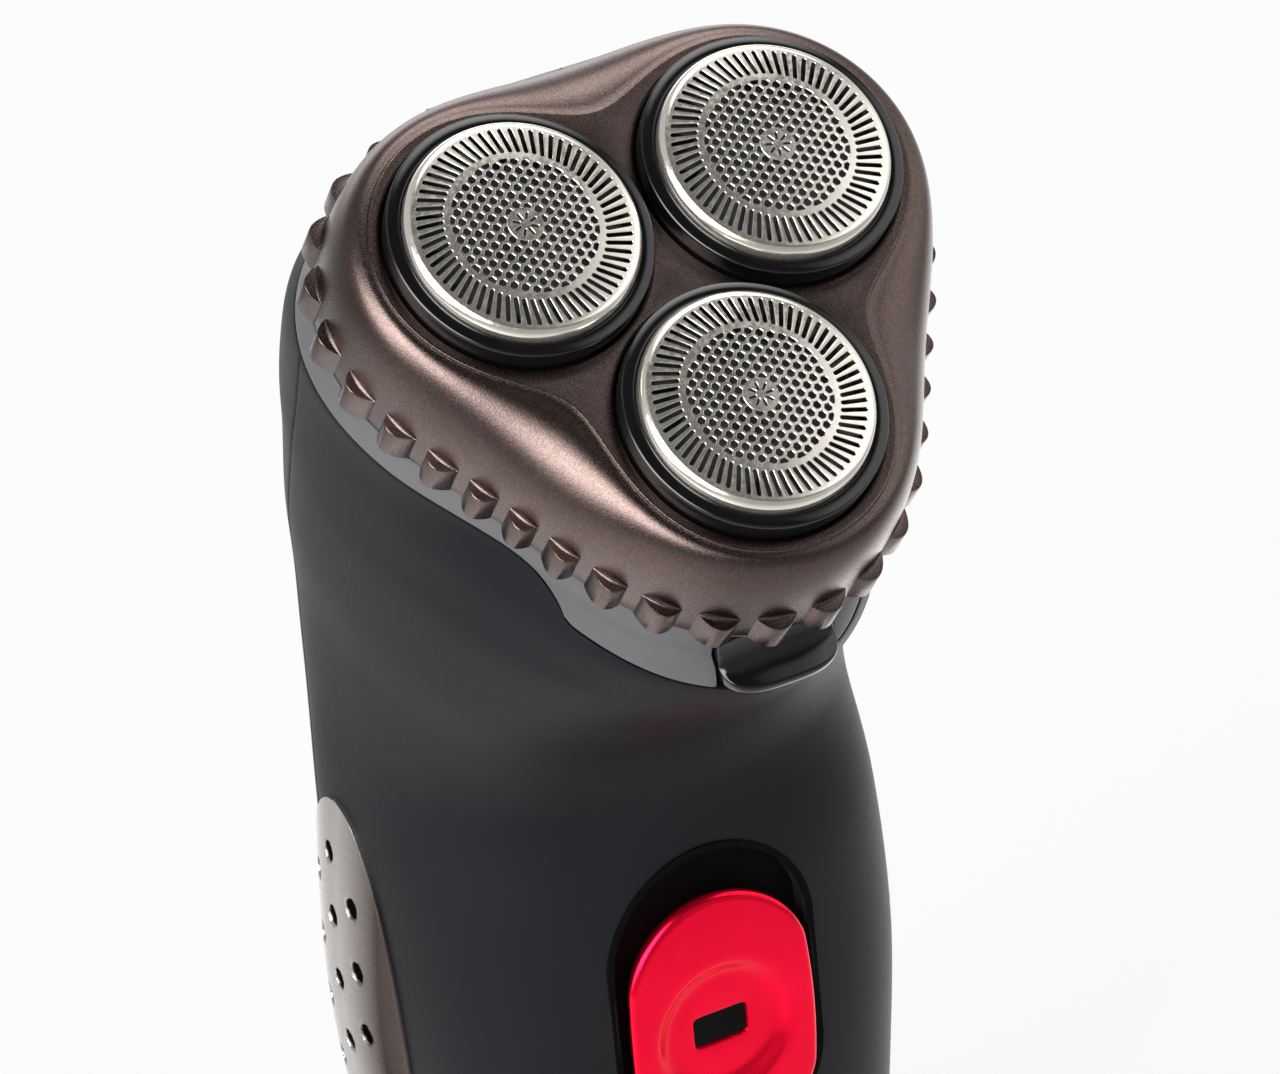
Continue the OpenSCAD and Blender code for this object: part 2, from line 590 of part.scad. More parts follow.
module battery_tabs() color("#c9cbce") {
  translate([-3, cell_y - 3, cell_z + cell_len + 0.65]) cube([6, 6, 0.4]);
  translate([-3, cell_y - 3, cell_z - 0.9]) cube([6, 6, 0.4]);
}

module release_button() color("#0b0c0e") head() translate([0, 0, button_z]) {
  linear_extrude(button_h) intersection() {
    translate([0, button_c]) difference() {
      circle(button_r, $fn = 96);
      circle(button_in, $fn = 96);
    }
    translate([-button_w / 2, -60]) square([button_w, 40]);
  }
}
module button_spring() color("#9fa3a7") head() translate([0, -23.4, deck_top + 0.8]) rotate([90, 0, 0])
  coil(0.6, 0.15, 4, 5.2 - button_travel);

module foot_cap() color("#232427") difference() {
  linear_extrude(foot_h) polygon([for (p = ring_pts(rows[0], 0)) [p[0], p[1]]]);
  translate([-inlet_w / 2 - 0.2, inlet_y - inlet_d / 2 - 0.2, -1]) cube([inlet_w + 0.4, inlet_d + 0.4, 20]);
  for (s = [-1, 1]) translate([s * foot_screw_x, foot_screw_y, -1]) {
    cylinder(r = foot_screw_r + 0.1, h = 20);
    cylinder(r = 2.5, h = 2.4);
  }
}
module inlet_socket() color("#111214") difference() {
  translate([-inlet_w / 2, inlet_y - inlet_d / 2, 0.6]) cube([inlet_w, inlet_d, 9.4]);
  translate([1.4 - inlet_w / 2, inlet_y - inlet_d / 2 + 1.4, -1]) cube([inlet_w - 2.8, inlet_d - 2.8, 9.6]);
  for (s = [-1, 1]) translate([s * pin_x, inlet_y, 5]) cylinder(r = 0.75, h = 20);
}
module inlet_pins() color("#c9cbce") for (s = [-1, 1]) translate([s * pin_x, inlet_y, 5])
  cylinder(r = 0.75, h = 7.6);
module hinge_pin() color("#b7babd") head() translate([-ear_x - ear_w / 2, hinge_y, hinge_z])
  rotate([0, 90, 0]) cylinder(r = pin_r, h = 2 * ear_x + ear_w);
module deck_screws() color("#b7babd") head() for (a = post_a) rotate(a) translate([screw_c, 0, deck_top]) {
  cylinder(r = 1.9, h = 1.1);
  translate([0, 0, deck_bot - deck_top - 3.4]) cylinder(r = screw_r - 0.01, h = deck_top - deck_bot + 3.6);
}
module foot_screws() color("#b7babd") for (s = [-1, 1]) translate([s * foot_screw_x, foot_screw_y, 0.2]) {
  cylinder(r = 2.3, h = 1.2);
  cylinder(r = foot_screw_r, h = 7);
}

head_cover();
cutter_frame();
lock_knob();
guard_ring(0);  // guard_ring_1
guard_ring(1);  // guard_ring_2
guard_ring(2);  // guard_ring_3
guard_foil(0);  // guard_foil_1
guard_foil(1);  // guard_foil_2
guard_foil(2);  // guard_foil_3
cutter(0);  // cutter_1
cutter(1);  // cutter_2
cutter(2);  // cutter_3
cutter_hub(0);  // cutter_hub_1
cutter_hub(1);  // cutter_hub_2
cutter_hub(2);  // cutter_hub_3
neck_collar();
drive_deck();
gearbox_plate();
drive_gear(0);  // drive_gear_1
drive_gear(1);  // drive_gear_2
drive_gear(2);  // drive_gear_3
drive_spindle(0);  // drive_spindle_1
drive_spindle(1);  // drive_spindle_2
drive_spindle(2);  // drive_spindle_3
spindle_spring(0);  // spindle_spring_1
spindle_spring(1);  // spindle_spring_2
spindle_spring(2);  // spindle_spring_3
motor_can();
motor_end_cap();
motor_rotor();
pinion();
front_shell();
rear_shell();
left_grip();
right_grip();
switch_track();
switch_slider();
slider_window();
slider_tongue();
micro_switch();
circuit_board();
inner_chassis();
battery();
battery_tabs();
release_button();
button_spring();
foot_cap();
inlet_socket();
inlet_pins();
hinge_pin();
deck_screws();
foot_screws();
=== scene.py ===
import bmesh
import bpy
import json
import math
from mathutils import Matrix, Vector


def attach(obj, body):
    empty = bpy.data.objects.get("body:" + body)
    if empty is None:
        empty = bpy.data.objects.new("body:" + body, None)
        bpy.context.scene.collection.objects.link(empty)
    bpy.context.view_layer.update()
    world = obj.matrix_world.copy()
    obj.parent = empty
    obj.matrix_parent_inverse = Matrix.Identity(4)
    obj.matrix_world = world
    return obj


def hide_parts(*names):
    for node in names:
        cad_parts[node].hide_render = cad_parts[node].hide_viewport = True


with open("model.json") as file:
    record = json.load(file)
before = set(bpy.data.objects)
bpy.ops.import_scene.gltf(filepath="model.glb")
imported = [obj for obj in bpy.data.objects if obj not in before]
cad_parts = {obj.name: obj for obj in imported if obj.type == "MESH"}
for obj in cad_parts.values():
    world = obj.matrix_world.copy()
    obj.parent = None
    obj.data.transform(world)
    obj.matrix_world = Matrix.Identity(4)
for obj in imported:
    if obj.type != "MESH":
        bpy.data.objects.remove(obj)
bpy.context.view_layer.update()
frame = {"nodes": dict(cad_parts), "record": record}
print("frame loaded")

mm = 0.001
scene = bpy.context.scene
# the shaving head leans over the front of the handle, and its own heights run along its normal
head = {"tilt": 39.0, "y": -30.0, "z": 148.0, "pitch": 15.0, "angles": (270, 150, 30)}
bodyMatrix = Matrix.Scale(mm, 4)
headMatrix = (bodyMatrix @ Matrix.Translation((0, head["y"], head["z"]))
              @ Matrix.Rotation(math.radians(head["tilt"]), 4, "X"))
headInverse = (bodyMatrix.inverted() @ headMatrix).inverted()


def cutterMatrix(angle):
    turn = Matrix.Rotation(math.radians(angle), 4, "Z")
    return headMatrix @ turn @ Matrix.Translation((head["pitch"], 0, 0))


def cosd(a):
    return math.cos(math.radians(a))


def sind(a):
    return math.sin(math.radians(a))


def polar(r, a, z=0):
    return Vector((r * cosd(a), r * sind(a), z))


def mix(a, b, t):
    return a + (b - a) * t


def ease(t):
    t = min(1.0, max(0.0, t))
    return t * t * (3 - 2 * t)


def solve(low, high, aim):
    # the place between low and high where aim changes from negative to positive
    rising = aim(high) > aim(low)
    for step in range(36):
        middle = (low + high) / 2
        if (aim(middle) > 0) == rising:
            high = middle
        else:
            low = middle
    return (low + high) / 2


def between(table, x):
    # smooth curve through a table of points, as in a spline drawn by hand
    xs = [p[0] for p in table]
    x = min(max(x, xs[0]), xs[-1])
    i = max(k for k in range(len(xs) - 1) if xs[k] <= x)
    slopes = []
    for k in (i, i + 1):
        before, after = table[max(k - 1, 0)], table[min(k + 1, len(table) - 1)]
        slopes.append((after[1] - before[1]) / (after[0] - before[0]))
    span = xs[i + 1] - xs[i]
    t = (x - xs[i]) / span
    a, b = table[i][1], table[i + 1][1]
    return (a * (1 + 2 * t) * (1 - t) ** 2 + b * t * t * (3 - 2 * t)
            + span * t * (1 - t) * (slopes[0] * (1 - t) - slopes[1] * t))


def setAll(thing, **settings):
    for name, value in settings.items():
        setattr(thing, name, value)
    return thing


def addObject(name, data):
    made = bpy.data.objects.new(name, data)
    scene.collection.objects.link(made)
    return made


# materials

def addNode(tree, kind, inputs, output, **settings):
    # one output of a new node, whose inputs take values or outputs of other nodes
    node = setAll(tree.nodes.new("ShaderNode" + kind), **settings)
    for name, value in inputs.items():
        if isinstance(value, bpy.types.NodeSocket):
            tree.links.new(value, node.inputs[name])
        else:
            node.inputs[name].default_value = value
    return node.outputs[output]


def objectPlace(tree):
    return addNode(tree, "TexCoord", {}, "Object")


def noiseOf(tree, scale, detail):
    inputs = {"Vector": objectPlace(tree), "Scale": scale, "Detail": detail}
    return addNode(tree, "TexNoise", inputs, "Fac")


def flakesOf(tree, scale):
    return addNode(tree, "TexVoronoi", {"Vector": objectPlace(tree), "Scale": scale}, "Color")


def spread(tree, source, low, high, fromLow=0.3, fromHigh=0.7):
    return addNode(tree, "MapRange", {"Value": source, "From Min": fromLow, "From Max": fromHigh,
                                      "To Min": low, "To Max": high}, "Result")


def calc(tree, operation, *values):
    return addNode(tree, "Math", dict(enumerate(values)), "Value", operation=operation)


def blend(tree, factor, a, b, **settings):
    return addNode(tree, "Mix", {"Factor": factor, "A": a, "B": b}, "Result", **settings)


def tint(tree, factor, colorA, colorB):
    return blend(tree, factor, (*colorA, 1), (*colorB, 1), data_type="RGBA")


def newMaterial(name, color, rough, metal=0.0):
    mat = bpy.data.materials.new(name)
    mat.use_nodes = True
    shader = mat.node_tree.nodes["Principled BSDF"]
    shader.inputs["Base Color"].default_value = (*color, 1)
    shader.inputs["Roughness"].default_value = rough
    shader.inputs["Metallic"].default_value = metal
    mat.diffuse_color = (*color, 1)
    return mat, mat.node_tree, shader


def grained(name, color, other, rough, metal=0.0, patch=60, grain=2500, bump=0.15, depth=0.00004,
            swing=0.06, gloss=0.5, flakes=0):
    # slow drift of colour, fine grain in the bump and a little change of gloss
    mat, tree, shader = newMaterial(name, color, rough, metal)
    shader.inputs["Specular IOR Level"].default_value = gloss
    drift = spread(tree, noiseOf(tree, patch, 4), 0, 1)
    if flakes:
        sparkle = spread(tree, flakesOf(tree, flakes), 0, 0.65, 0.25, 0.75)
        drift = calc(tree, "ADD", spread(tree, drift, 0, 0.35, 0, 1), sparkle)
    fine = noiseOf(tree, grain, 2)
    relief = addNode(tree, "Bump", {"Strength": bump, "Distance": depth, "Height": fine}, "Normal")
    surface = {"Base Color": tint(tree, drift, color, other), "Normal": relief,
               "Roughness": spread(tree, fine, rough - swing, rough + swing)}
    for socket, value in surface.items():
        tree.links.new(value, shader.inputs[socket])
    return mat


slotFinish = {
    "bronze_cover": grained(
        "bronzeLacquer", (0.122, 0.090, 0.082), (0.075, 0.053, 0.048), 0.27, 1.0,
        90, 9000, 0.35, 0.00005, 0.06, flakes=8000),
    "soft_black": grained(
        "softBlack", (0.0135, 0.0142, 0.017), (0.0105, 0.0110, 0.0132), 0.5, 0.0,
        40, 5200, 0.2, 0.00005, gloss=0.1),
    "collar_grey": grained(
        "collarGrey", (0.140, 0.141, 0.147), (0.118, 0.119, 0.125), 0.46, 0.0,
        70, 4200, gloss=0.35),
    "black_gloss": grained(
        "glossBlack", (0.0035, 0.0036, 0.0042), (0.0055, 0.0056, 0.0062), 0.1, 0.0,
        160, 900, 0.02, 0.00002, 0.03),
    "guard_metal": grained(
        "guardMetal", (0.86, 0.82, 0.745), (0.76, 0.71, 0.635), 0.15, 0.86,
        220, 1800, 0.05, 0.00002, 0.06),
    # painted shade: the cutter steel is drawn far darker than steel, for the shade under the guards
    "cutter_steel": grained(
        "shadedCutterSteel", (0.07, 0.07, 0.073), (0.045, 0.045, 0.048), 0.34, 1.0,
        300, 3000, 0.1, 0.00003),
    "red_slider": grained(
        "redLacquer", (0.98, 0.003, 0.038), (0.86, 0.002, 0.028), 0.17, 0.8,
        120, 4200, 0.06, 0.00003, 0.04, gloss=0.25),
    "grip_bronze": grained(
        "gripLacquer", (0.52, 0.49, 0.47), (0.41, 0.38, 0.365), 0.3, 0.9,
        80, 9000, 0.25, 0.00005, flakes=8000),
    "dark_plastic": grained(
        "darkPlastic", (0.015, 0.015, 0.017), (0.020, 0.020, 0.022), 0.5, 0.0,
        60, 3000, 0.2, 0.00005, gloss=0.25),
    "pale_plastic": grained(
        "palePlastic", (0.60, 0.59, 0.55), (0.55, 0.54, 0.50), 0.42, 0.0,
        60, 2000, 0.1),
    "grey_plastic": grained("greyPlastic", (0.16, 0.17, 0.18), (0.13, 0.14, 0.15), 0.48, 0.0, 60, 2600),
    "bright_steel": grained(
        "plainSteel", (0.52, 0.53, 0.54), (0.43, 0.44, 0.45), 0.3, 1.0,
        200, 2400, 0.08, 0.00003),
    "copper_rotor": grained(
        "copperWinding", (0.52, 0.20, 0.09), (0.40, 0.14, 0.06), 0.34, 0.9,
        300, 1800, 0.3, 0.0001),
    "brass_pinion": grained(
        "turnedBrass", (0.64, 0.45, 0.17), (0.55, 0.37, 0.13), 0.28, 1.0,
        200, 2000, 0.08, 0.00003),
    "board_green": grained("boardMask", (0.015, 0.11, 0.05), (0.02, 0.14, 0.065), 0.4, 0.0, 400, 1500),
    "cell_wrap": grained("cellWrap", (0.05, 0.22, 0.11), (0.04, 0.19, 0.09), 0.25, 0.0, 50, 800, 0.05),
    "smoked_window": grained(
        "smokedWindow", (0.0015, 0.0015, 0.002), (0.0025, 0.0025, 0.003), 0.2, 0.0,
        200, 700, 0.02, 0.00002, 0.02, gloss=0.06),
}
# painted shade: the recess and the cutter hubs are drawn darker than the rest of their slots, for the
# shade deep in the recess and under the guards
paintedShadeFinish = {f"cutter_hub_{number}": slotFinish["dark_plastic"] for number in (1, 2, 3)}
paintedShadeFinish["switch_track"] = grained("recessPaintedShade", (0.0025, 0.0025, 0.003), (0.0015, 0.0015, 0.002), 0.6, 0.0,
                                    90, 2600, 0.1, 0.00004, gloss=0.04)
nodeSlot = {}
for entry in frame["record"]["subparts"]:
    nodeSlot[entry["node"]] = entry["material_slot"]
    solid = frame["nodes"][entry["node"]]
    solid.data.materials.clear()
    solid.data.materials.append(paintedShadeFinish.get(entry["node"], slotFinish[entry["material_slot"]]))
nodeBody = {node: body for body, nodes in frame["record"]["behaviour"]["bodies"].items() for node in nodes}
print("materials made")

# camera and light

shot = {"place": (-0.2345, -0.4981, 0.4071), "right": (0.8741, -0.4777, -0.0876),
        "up": (0.2987, 0.3865, 0.8726), "lens": 182.8, "sensor": 36.0}
lens = bpy.data.cameras.new("camera")
setAll(lens, sensor_fit="HORIZONTAL", sensor_width=shot["sensor"], lens=shot["lens"], clip_start=0.01,
       clip_end=50)
camera = addObject("camera", lens)
right = Vector(shot["right"]).normalized()
up = Vector(shot["up"])
up = (up - right * up.dot(right)).normalized()
camera.matrix_world = (Matrix.Translation(shot["place"])
                       @ Matrix((right, up, right.cross(up))).transposed().to_4x4())
scene.camera = camera

scene.view_settings.view_transform = "Standard"
studio = {"fill": 0.5, "floor": (0.86, 0.86, 0.86), "floorGlow": 0.82, "room": 0.5, "floorShine": 0.42,
          "floorArc": (0.1, 0.75), "floorReach": (0.1, 0.55)}
# what the gloss sees of the room: angle from the front, height, inner and outer reach in degrees, level
roomParts = ((35, 58, 30, 52, 0.06), (0, 5, 15, 35, 0.35), (85, 10, 15, 35, 1.2), (165, 2, 15, 35, 2.2),
             (61, 34, 18, 26, 1.6), (128, 64, 9, 24, 5.0), (-84, 20, 12, 24, 9.0), (-50, 34, 15, 28, 11.0))
# and of the floor: angle from the front, level close by and level far off
floorParts = ((-75, 1.9, 0.4), (128, 2.2, 0.8), (22, 0.95, 0.42))
world = bpy.data.worlds.new("studio")
scene.world = world
world.use_nodes = True
sky = world.node_tree
backdrop = sky.nodes["Background"]
backdrop.inputs["Color"].default_value = (1, 1, 1, 1)


def byRay(tree, plain, shine, direct):
    # one value for the light on the object, one for what metal and glass show, one for the camera
    rays = tree.nodes.new("ShaderNodeLightPath").outputs
    mirrored = calc(tree, "MAXIMUM", rays["Is Glossy Ray"], rays["Is Transmission Ray"])
    return blend(tree, rays["Is Camera Ray"], blend(tree, mirrored, plain, shine), direct)


def facing(tree, direction, angle, height):
    aim = (cosd(height) * sind(angle), -cosd(height) * cosd(angle), sind(height))
    return addNode(tree, "VectorMath", {0: direction, 1: aim}, "Value", operation="DOT_PRODUCT")


def roomShine(tree):
    direction = addNode(tree, "TexCoord", {}, "Generated")
    level = studio["room"]
    for angle, height, inner, outer, part in roomParts:
        reach = spread(tree, facing(tree, direction, angle, height), 0, 1, cosd(outer), cosd(inner))
        level = blend(tree, reach, level, part)
    return level


def floorShine(tree):
    place = objectPlace(tree)
    far = addNode(tree, "VectorMath", {0: place}, "Value", operation="LENGTH")
    unit = addNode(tree, "VectorMath", {0: place}, "Vector", operation="NORMALIZE")
    level = studio["floorShine"]
    for angle, close, distant in floorParts:
        reach = spread(tree, facing(tree, unit, angle, 0), 0, 1, *studio["floorArc"])
        level = blend(tree, reach, level, spread(tree, far, close, distant, *studio["floorReach"]))
    return level


sky.links.new(byRay(sky, studio["fill"], roomShine(sky), 1.0), backdrop.inputs["Strength"])


def softBox(name, place, aim, size, power):
    lamp = bpy.data.lights.new(name, "AREA")
    setAll(lamp, shape="RECTANGLE", size=size[0], size_y=size[1], energy=power)
    box = addObject(name, lamp)
    box.location = place
    box.rotation_euler = (Vector(aim) - Vector(place)).to_track_quat("-Z", "Y").to_euler()
    # the gloss shows the room instead
    box.visible_glossy = False


softBox("keyBox", (-0.72, -0.36, 0.60), (0, -0.02, 0.12), (0.5, 0.4), 5.0)
softBox("backBox", (0.40, 0.50, 0.85), (0, -0.02, 0.12), (0.4, 0.4), 2.6)
softBox("frontBox", (0.25, -0.75, 0.45), (0, 0, 0.1), (0.4, 0.5), 1.4)

bpy.ops.mesh.primitive_plane_add(size=6, location=(0, 0, 0))
floor = bpy.context.object
floor.name = "floor"
floorMat, floorTree, floorShader = newMaterial("paleFloor", studio["floor"], 0.8)
glow = addNode(floorTree, "Emission", {"Strength": byRay(floorTree, 1.0, floorShine(floorTree), 1.0)},
               "Emission")
share = byRay(floorTree, 0.0, 1.0, studio["floorGlow"])
finish = addNode(floorTree, "MixShader", {"Fac": share, 1: floorShader.outputs["BSDF"], 2: glow}, "Shader")
floorTree.links.new(finish, floorTree.nodes["Material Output"].inputs["Surface"])
floor.data.materials.append(floorMat)
print("camera and light placed")


# building tools

# points closer than this become one, in millimetres
weld = 0.001
# stands a flat outline up across the head
sideways = Matrix(((0, 0, 1, 0), (1, 0, 0, 0), (0, 1, 0, 0), (0, 0, 0, 1)))


def faceOut(bm):
    bm.normal_update()
    bmesh.ops.recalc_face_normals(bm, faces=bm.faces)


def join(bm, reach=weld):
    bmesh.ops.remove_doubles(bm, verts=bm.verts, dist=reach)


def shift(bm, verts, step):
    bmesh.ops.translate(bm, verts=verts, vec=step)


def gridPiece(columns, rows, place):
    bm = bmesh.new()
    bmesh.ops.create_grid(bm, x_segments=columns, y_segments=rows, size=0.5)
    for vert in bm.verts:
        vert.co = place(vert.co.x + 0.5, vert.co.y + 0.5)
    join(bm)
    return bm


def spunPiece(profile, steps, start=0.0, closed=True):
    bm = bmesh.new()
    verts = [bm.verts.new(polar(r, start, z)) for r, z in profile]
    edges = [bm.edges.new(pair) for pair in zip(verts, verts[1:])]
    if closed:
        edges.append(bm.edges.new((verts[-1], verts[0])))
    bmesh.ops.spin(bm, geom=verts + edges, cent=(0, 0, 0), axis=(0, 0, 1), angle=2 * math.pi,
                   steps=steps, use_merge=True, use_duplicate=False)
    join(bm)
    return bm


def addTo(bm, other):
    mesh = bpy.data.meshes.new("joined")
    other.to_mesh(mesh)
    other.free()
    bm.from_mesh(mesh)
    bpy.data.meshes.remove(mesh)


def allOf(bm):
    return bm.verts[:] + bm.edges[:] + bm.faces[:]


def rimEdges(bm):
    return [e for e in bm.edges if e.is_boundary]


def edgesOf(verts):
    return list(dict.fromkeys(e for v in verts for e in v.link_edges))


def closeEnds(bm):
    bmesh.ops.holes_fill(bm, edges=rimEdges(bm), sides=0)


def fillFlat(bm, edges, up=1):
    bmesh.ops.triangle_fill(bm, edges=edges, use_beauty=True, normal=(0, 0, up))


def turnRound(bm, verts, degrees):
    turn = Matrix.Rotation(math.radians(degrees), 3, "Z")
    bmesh.ops.rotate(bm, verts=verts, cent=(0, 0, 0), matrix=turn)


def boxPiece(size, middle):
    bm = bmesh.new()
    verts = bmesh.ops.create_cube(bm, size=1)["verts"]
    bmesh.ops.scale(bm, verts=verts, vec=size)
    shift(bm, verts, middle)
    return bm


def roundPost(bm, place, radius, low, high):
    post = bmesh.ops.create_cone(bm, cap_ends=True, segments=32, radius1=radius, radius2=radius,
                                 depth=high - low)
    shift(bm, post["verts"], (place[0], place[1], (low + high) / 2))


def platePiece(outline, thickness, turn):
    # flat outline pulled out to a thickness, then stood in place by turn
    bm = bmesh.new()
    face = bm.faces.new([bm.verts.new((x, y, 0)) for x, y in outline])
    pulled = bmesh.ops.extrude_face_region(bm, geom=[face])["geom"]
    raised = [g for g in pulled if isinstance(g, bmesh.types.BMVert)]
    shift(bm, raised, (0, 0, thickness))
    faceOut(bm)
    bm.transform(turn)
    return bm


def outward(bm, middle):
    # an open skin faces away from a point inside the object
    faceOut(bm)
    lean = sum(f.normal.dot(f.calc_center_median() - middle) * f.calc_area() for f in bm.faces)
    if lean < 0:
        bmesh.ops.reverse_faces(bm, faces=bm.faces)


def roundEdges(bm, steps):
    # how far the border rows of a skin sink along their normals, the outermost one first
    bm.normal_update()
    bm.verts.index_update()
    ring = {v for e in rimEdges(bm) for v in e.verts}
    seen = set(ring)
    moves = []
    for depth in steps:
        moves += [(v, v.normal * depth) for v in ring]
        ring = {e.other_vert(v) for v in ring for e in v.link_edges} - seen
        seen |= ring
    return moves


def marks(count, length, borders=(0.0, 0.05, 0.14, 0.3), bands=(), crowd=4):
    # places from 0 to 1, crowded inside the bands and at both borders, for a strip of some length
    fine = 2000
    total = [0.0]
    for k in range(fine):
        place = (k + 0.5) / fine
        total.append(total[-1] + (crowd if any(low < place < high for low, high in bands) else 1))
    places = [d / length for d in borders] + [1 - d / length for d in borders]
    k = 0
    for i in range(1, count):
        aim = total[-1] * i / count
        while total[k + 1] < aim:
            k += 1
        place = (k + (aim - total[k]) / (total[k + 1] - total[k])) / fine
        if borders[-1] * 1.5 < place * length < length - borders[-1] * 1.5:
            places.append(place)
    return sorted(places)


def markedPiece(across, along, place):
    # a grid whose columns and rows stand at given marks
    def placeMarked(c, t):
        return place(across[round(c * (len(across) - 1))], along[round(t * (len(along) - 1))])

    return gridPiece(len(across) - 1, len(along) - 1, placeMarked)


def shadeByAngle(mesh, angle, extra):
    bm = bmesh.new()
    bm.from_mesh(mesh)
    if extra:
        addTo(bm, extra)
    for face in bm.faces:
        face.smooth = True
    for edge in bm.edges:
        edge.smooth = edge.calc_face_angle(0) < math.radians(angle)
    bm.to_mesh(mesh)
    bm.free()


def settle(piece):
    # the modifiers become part of the mesh
    old = piece.data
    final = piece.evaluated_get(bpy.context.evaluated_depsgraph_get())
    piece.data = bpy.data.meshes.new_from_object(final)
    piece.modifiers.clear()
    bpy.data.meshes.remove(old)
    piece.data.name = piece.name


def newObject(name, bm, place):
    bm.transform(place)
    mesh = bpy.data.meshes.new(name)
    bm.to_mesh(mesh)
    bm.free()
    return addObject(name, mesh)


def finishPiece(name, bm, node, place=bodyMatrix, angle=38, wall=0, drops=(), cuts=(), edge=0, segments=2,
                normals=True, extra=None):
    if normals:
        faceOut(bm)
    sinks = [(vert.index, place.to_3x3() @ move) for vert, move in drops]
    piece = newObject(name, bm, place)
    if wall:
        skin = piece.modifiers.new("wall", "SOLIDIFY")
        setAll(skin, thickness=wall * mm, offset=-1, use_even_offset=True)
    if sinks:
        # only the outer skin of the wall is rounded
        first, count = piece.data.vertices[0].co.copy(), len(piece.data.vertices)
        settle(piece)
        start = 0 if (piece.data.vertices[0].co - first).length < weld * mm else count
        for index, move in sinks:
            piece.data.vertices[start + index].co -= move
        piece.data.update()
    cutters = []
    for cut in cuts:
        faceOut(cut)
        cutters.append(newObject("cut", cut, place))
        hole = piece.modifiers.new("hole", "BOOLEAN")
        setAll(hole, operation="DIFFERENCE", solver="EXACT", object=cutters[-1])
    if edge:
        rounding = piece.modifiers.new("edge", "BEVEL")
        setAll(rounding, width=edge * mm, segments=segments, limit_method="ANGLE",
               angle_limit=math.radians(40), use_clamp_overlap=True)
    if piece.modifiers:
        settle(piece)
    for cutter in cutters:
        old = cutter.data
        bpy.data.objects.remove(cutter)
        bpy.data.meshes.remove(old)
    if extra:
        faceOut(extra)
        extra.transform(place)
    shadeByAngle(piece.data, angle, extra)
    piece.data.materials.clear()
    piece.data.materials.append(slotFinish[nodeSlot[node]])
    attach(piece, nodeBody[node])
    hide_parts(node)
    print(name, "made,", len(piece.data.polygons), "faces")


# outline of the head seen along its normal, three lobes over the cutters, by mean radius and swell

headShape = {"rim": (27.7, 3.25), "cover": (28.2, 3.2), "coverRear": 0.15, "crease": (23.9, 5.45),
             "creasePinch": 0.6}


def lobed(a, mean, swell):
    return mean + swell * cosd(3 * (a - head["angles"][0]))


def rim(a):
    return lobed(a, *headShape["rim"])


def coverRim(a):
    return lobed(a, *headShape["cover"]) + headShape["coverRear"] * sind(a)


def crease(a):
    return lobed(a, *headShape["crease"]) - headShape["creasePinch"] * cosd(6 * (a - head["angles"][0]))


# head cover with its ribbed edge

cover = {"columns": 288, "plateau": -2.5, "step": 0.26, "fullness": 0.84, "skirtTop": -10.8, "wall": 2.0,
         "innerDrop": 8.3, "bore": 12.5, "boreLip": 12.9, "boreSides": 96, "ribs": 36, "firstRib": 5,
         "ribColumns": 10, "ribTop": -11.2, "ribRise": 0.5, "ribHalf": 3.6, "ribBulge": 1.3,
         "ribGap": 0.03, "studRadius": 1.8, "studLow": -11.0, "postRadius": 1.9, "postRing": 18.0,
         "postLow": -8.0, "postAngles": (90, 210, 330), "postSink": 0.5, "hingeY": 27.5, "hingeZ": -16.4,
         "knuckle": 1.35, "earX": 7.0, "earWidth": 4.0, "earRoot": 22.8, "earTop": -12.0, "earLow": -14.7}
# rows from inside to outside: shares of the inner shoulder, the skirt by its place from the rim and its
# height, shares of the outer shoulder, and the lip by its place from the crease and its height
coverInner = (0, 0.25, 0.5, 0.72, 0.9)
coverSkirt = ((-2.0, -12.6), (-2.0, -14.6), (-1.7, -14.9), (-0.3, -14.9), (-0.08, -14.8), (0.02, -14.5),
              (0.05, -12.6))
coverOuter = [1 - k / 18 for k in range(18)]
coverLip = ((0.0, -2.76), (-0.05, -2.74), (-0.1, -2.62), (-0.15, -2.54), (-0.24, -2.5), (-0.36, -2.5))
coverRows = len(coverInner) + len(coverSkirt) + len(coverOuter) + len(coverLip)
# rounding of a bore's edge, out from the bore and up from the plateau
boreSteps = ((0.22, -0.03), (0.06, -0.16), (0, -0.4))
# a rib from its bottom round the outside to the back: out, height above the rib top, share of the rise
ribRows = ((0, -3.66, 0), (0.9, -3.7, 0), (1, -3.55, 0), (1, -0.14, 0), (0.975, -0.05, 0), (0.92, 0, 0),
           (0.34, 0, 0), (0.2, 0, 0.1), (0.1, 0, 0.32), (0.03, 0, 0.66), (0, 0, 1), (-0.35, 0, 1),
           (-0.35, -3.6, 0))


def coverPoint(a, k):
    shoulder = coverRim(a) - crease(a)
    if k < len(coverInner):
        t = coverInner[k]
        r = crease(a) + shoulder * sind(90 * t) - cover["wall"] * mix(0.3, 1, t)
        z = cover["plateau"] - cover["wall"] - cover["innerDrop"] * (1 - cosd(90 * t))
        return r, z
    k -= len(coverInner)
    if k < len(coverSkirt):
        return coverRim(a) + coverSkirt[k][0], coverSkirt[k][1]
    k -= len(coverSkirt)
    if k < len(coverOuter):
        t = coverOuter[k]
        top = cover["plateau"] - cover["step"]
        out, down = sind(90 * t) ** cover["fullness"], 1 - max(0, cosd(90 * t)) ** cover["fullness"]
        return crease(a) + shoulder * out, top - (top - cover["skirtTop"]) * down
    k -= len(coverOuter)
    return crease(a) + coverLip[k][0], coverLip[k][1]


def coverPlace(c, t):
    a = 360 * c
    r, z = coverPoint(a, round(t * (coverRows - 1)))
    return polar(r, a, z)


def ringOfEdges(bm, z):
    return [e for e in rimEdges(bm) if all(abs(v.co.z - z) < 0.01 for v in e.verts)]


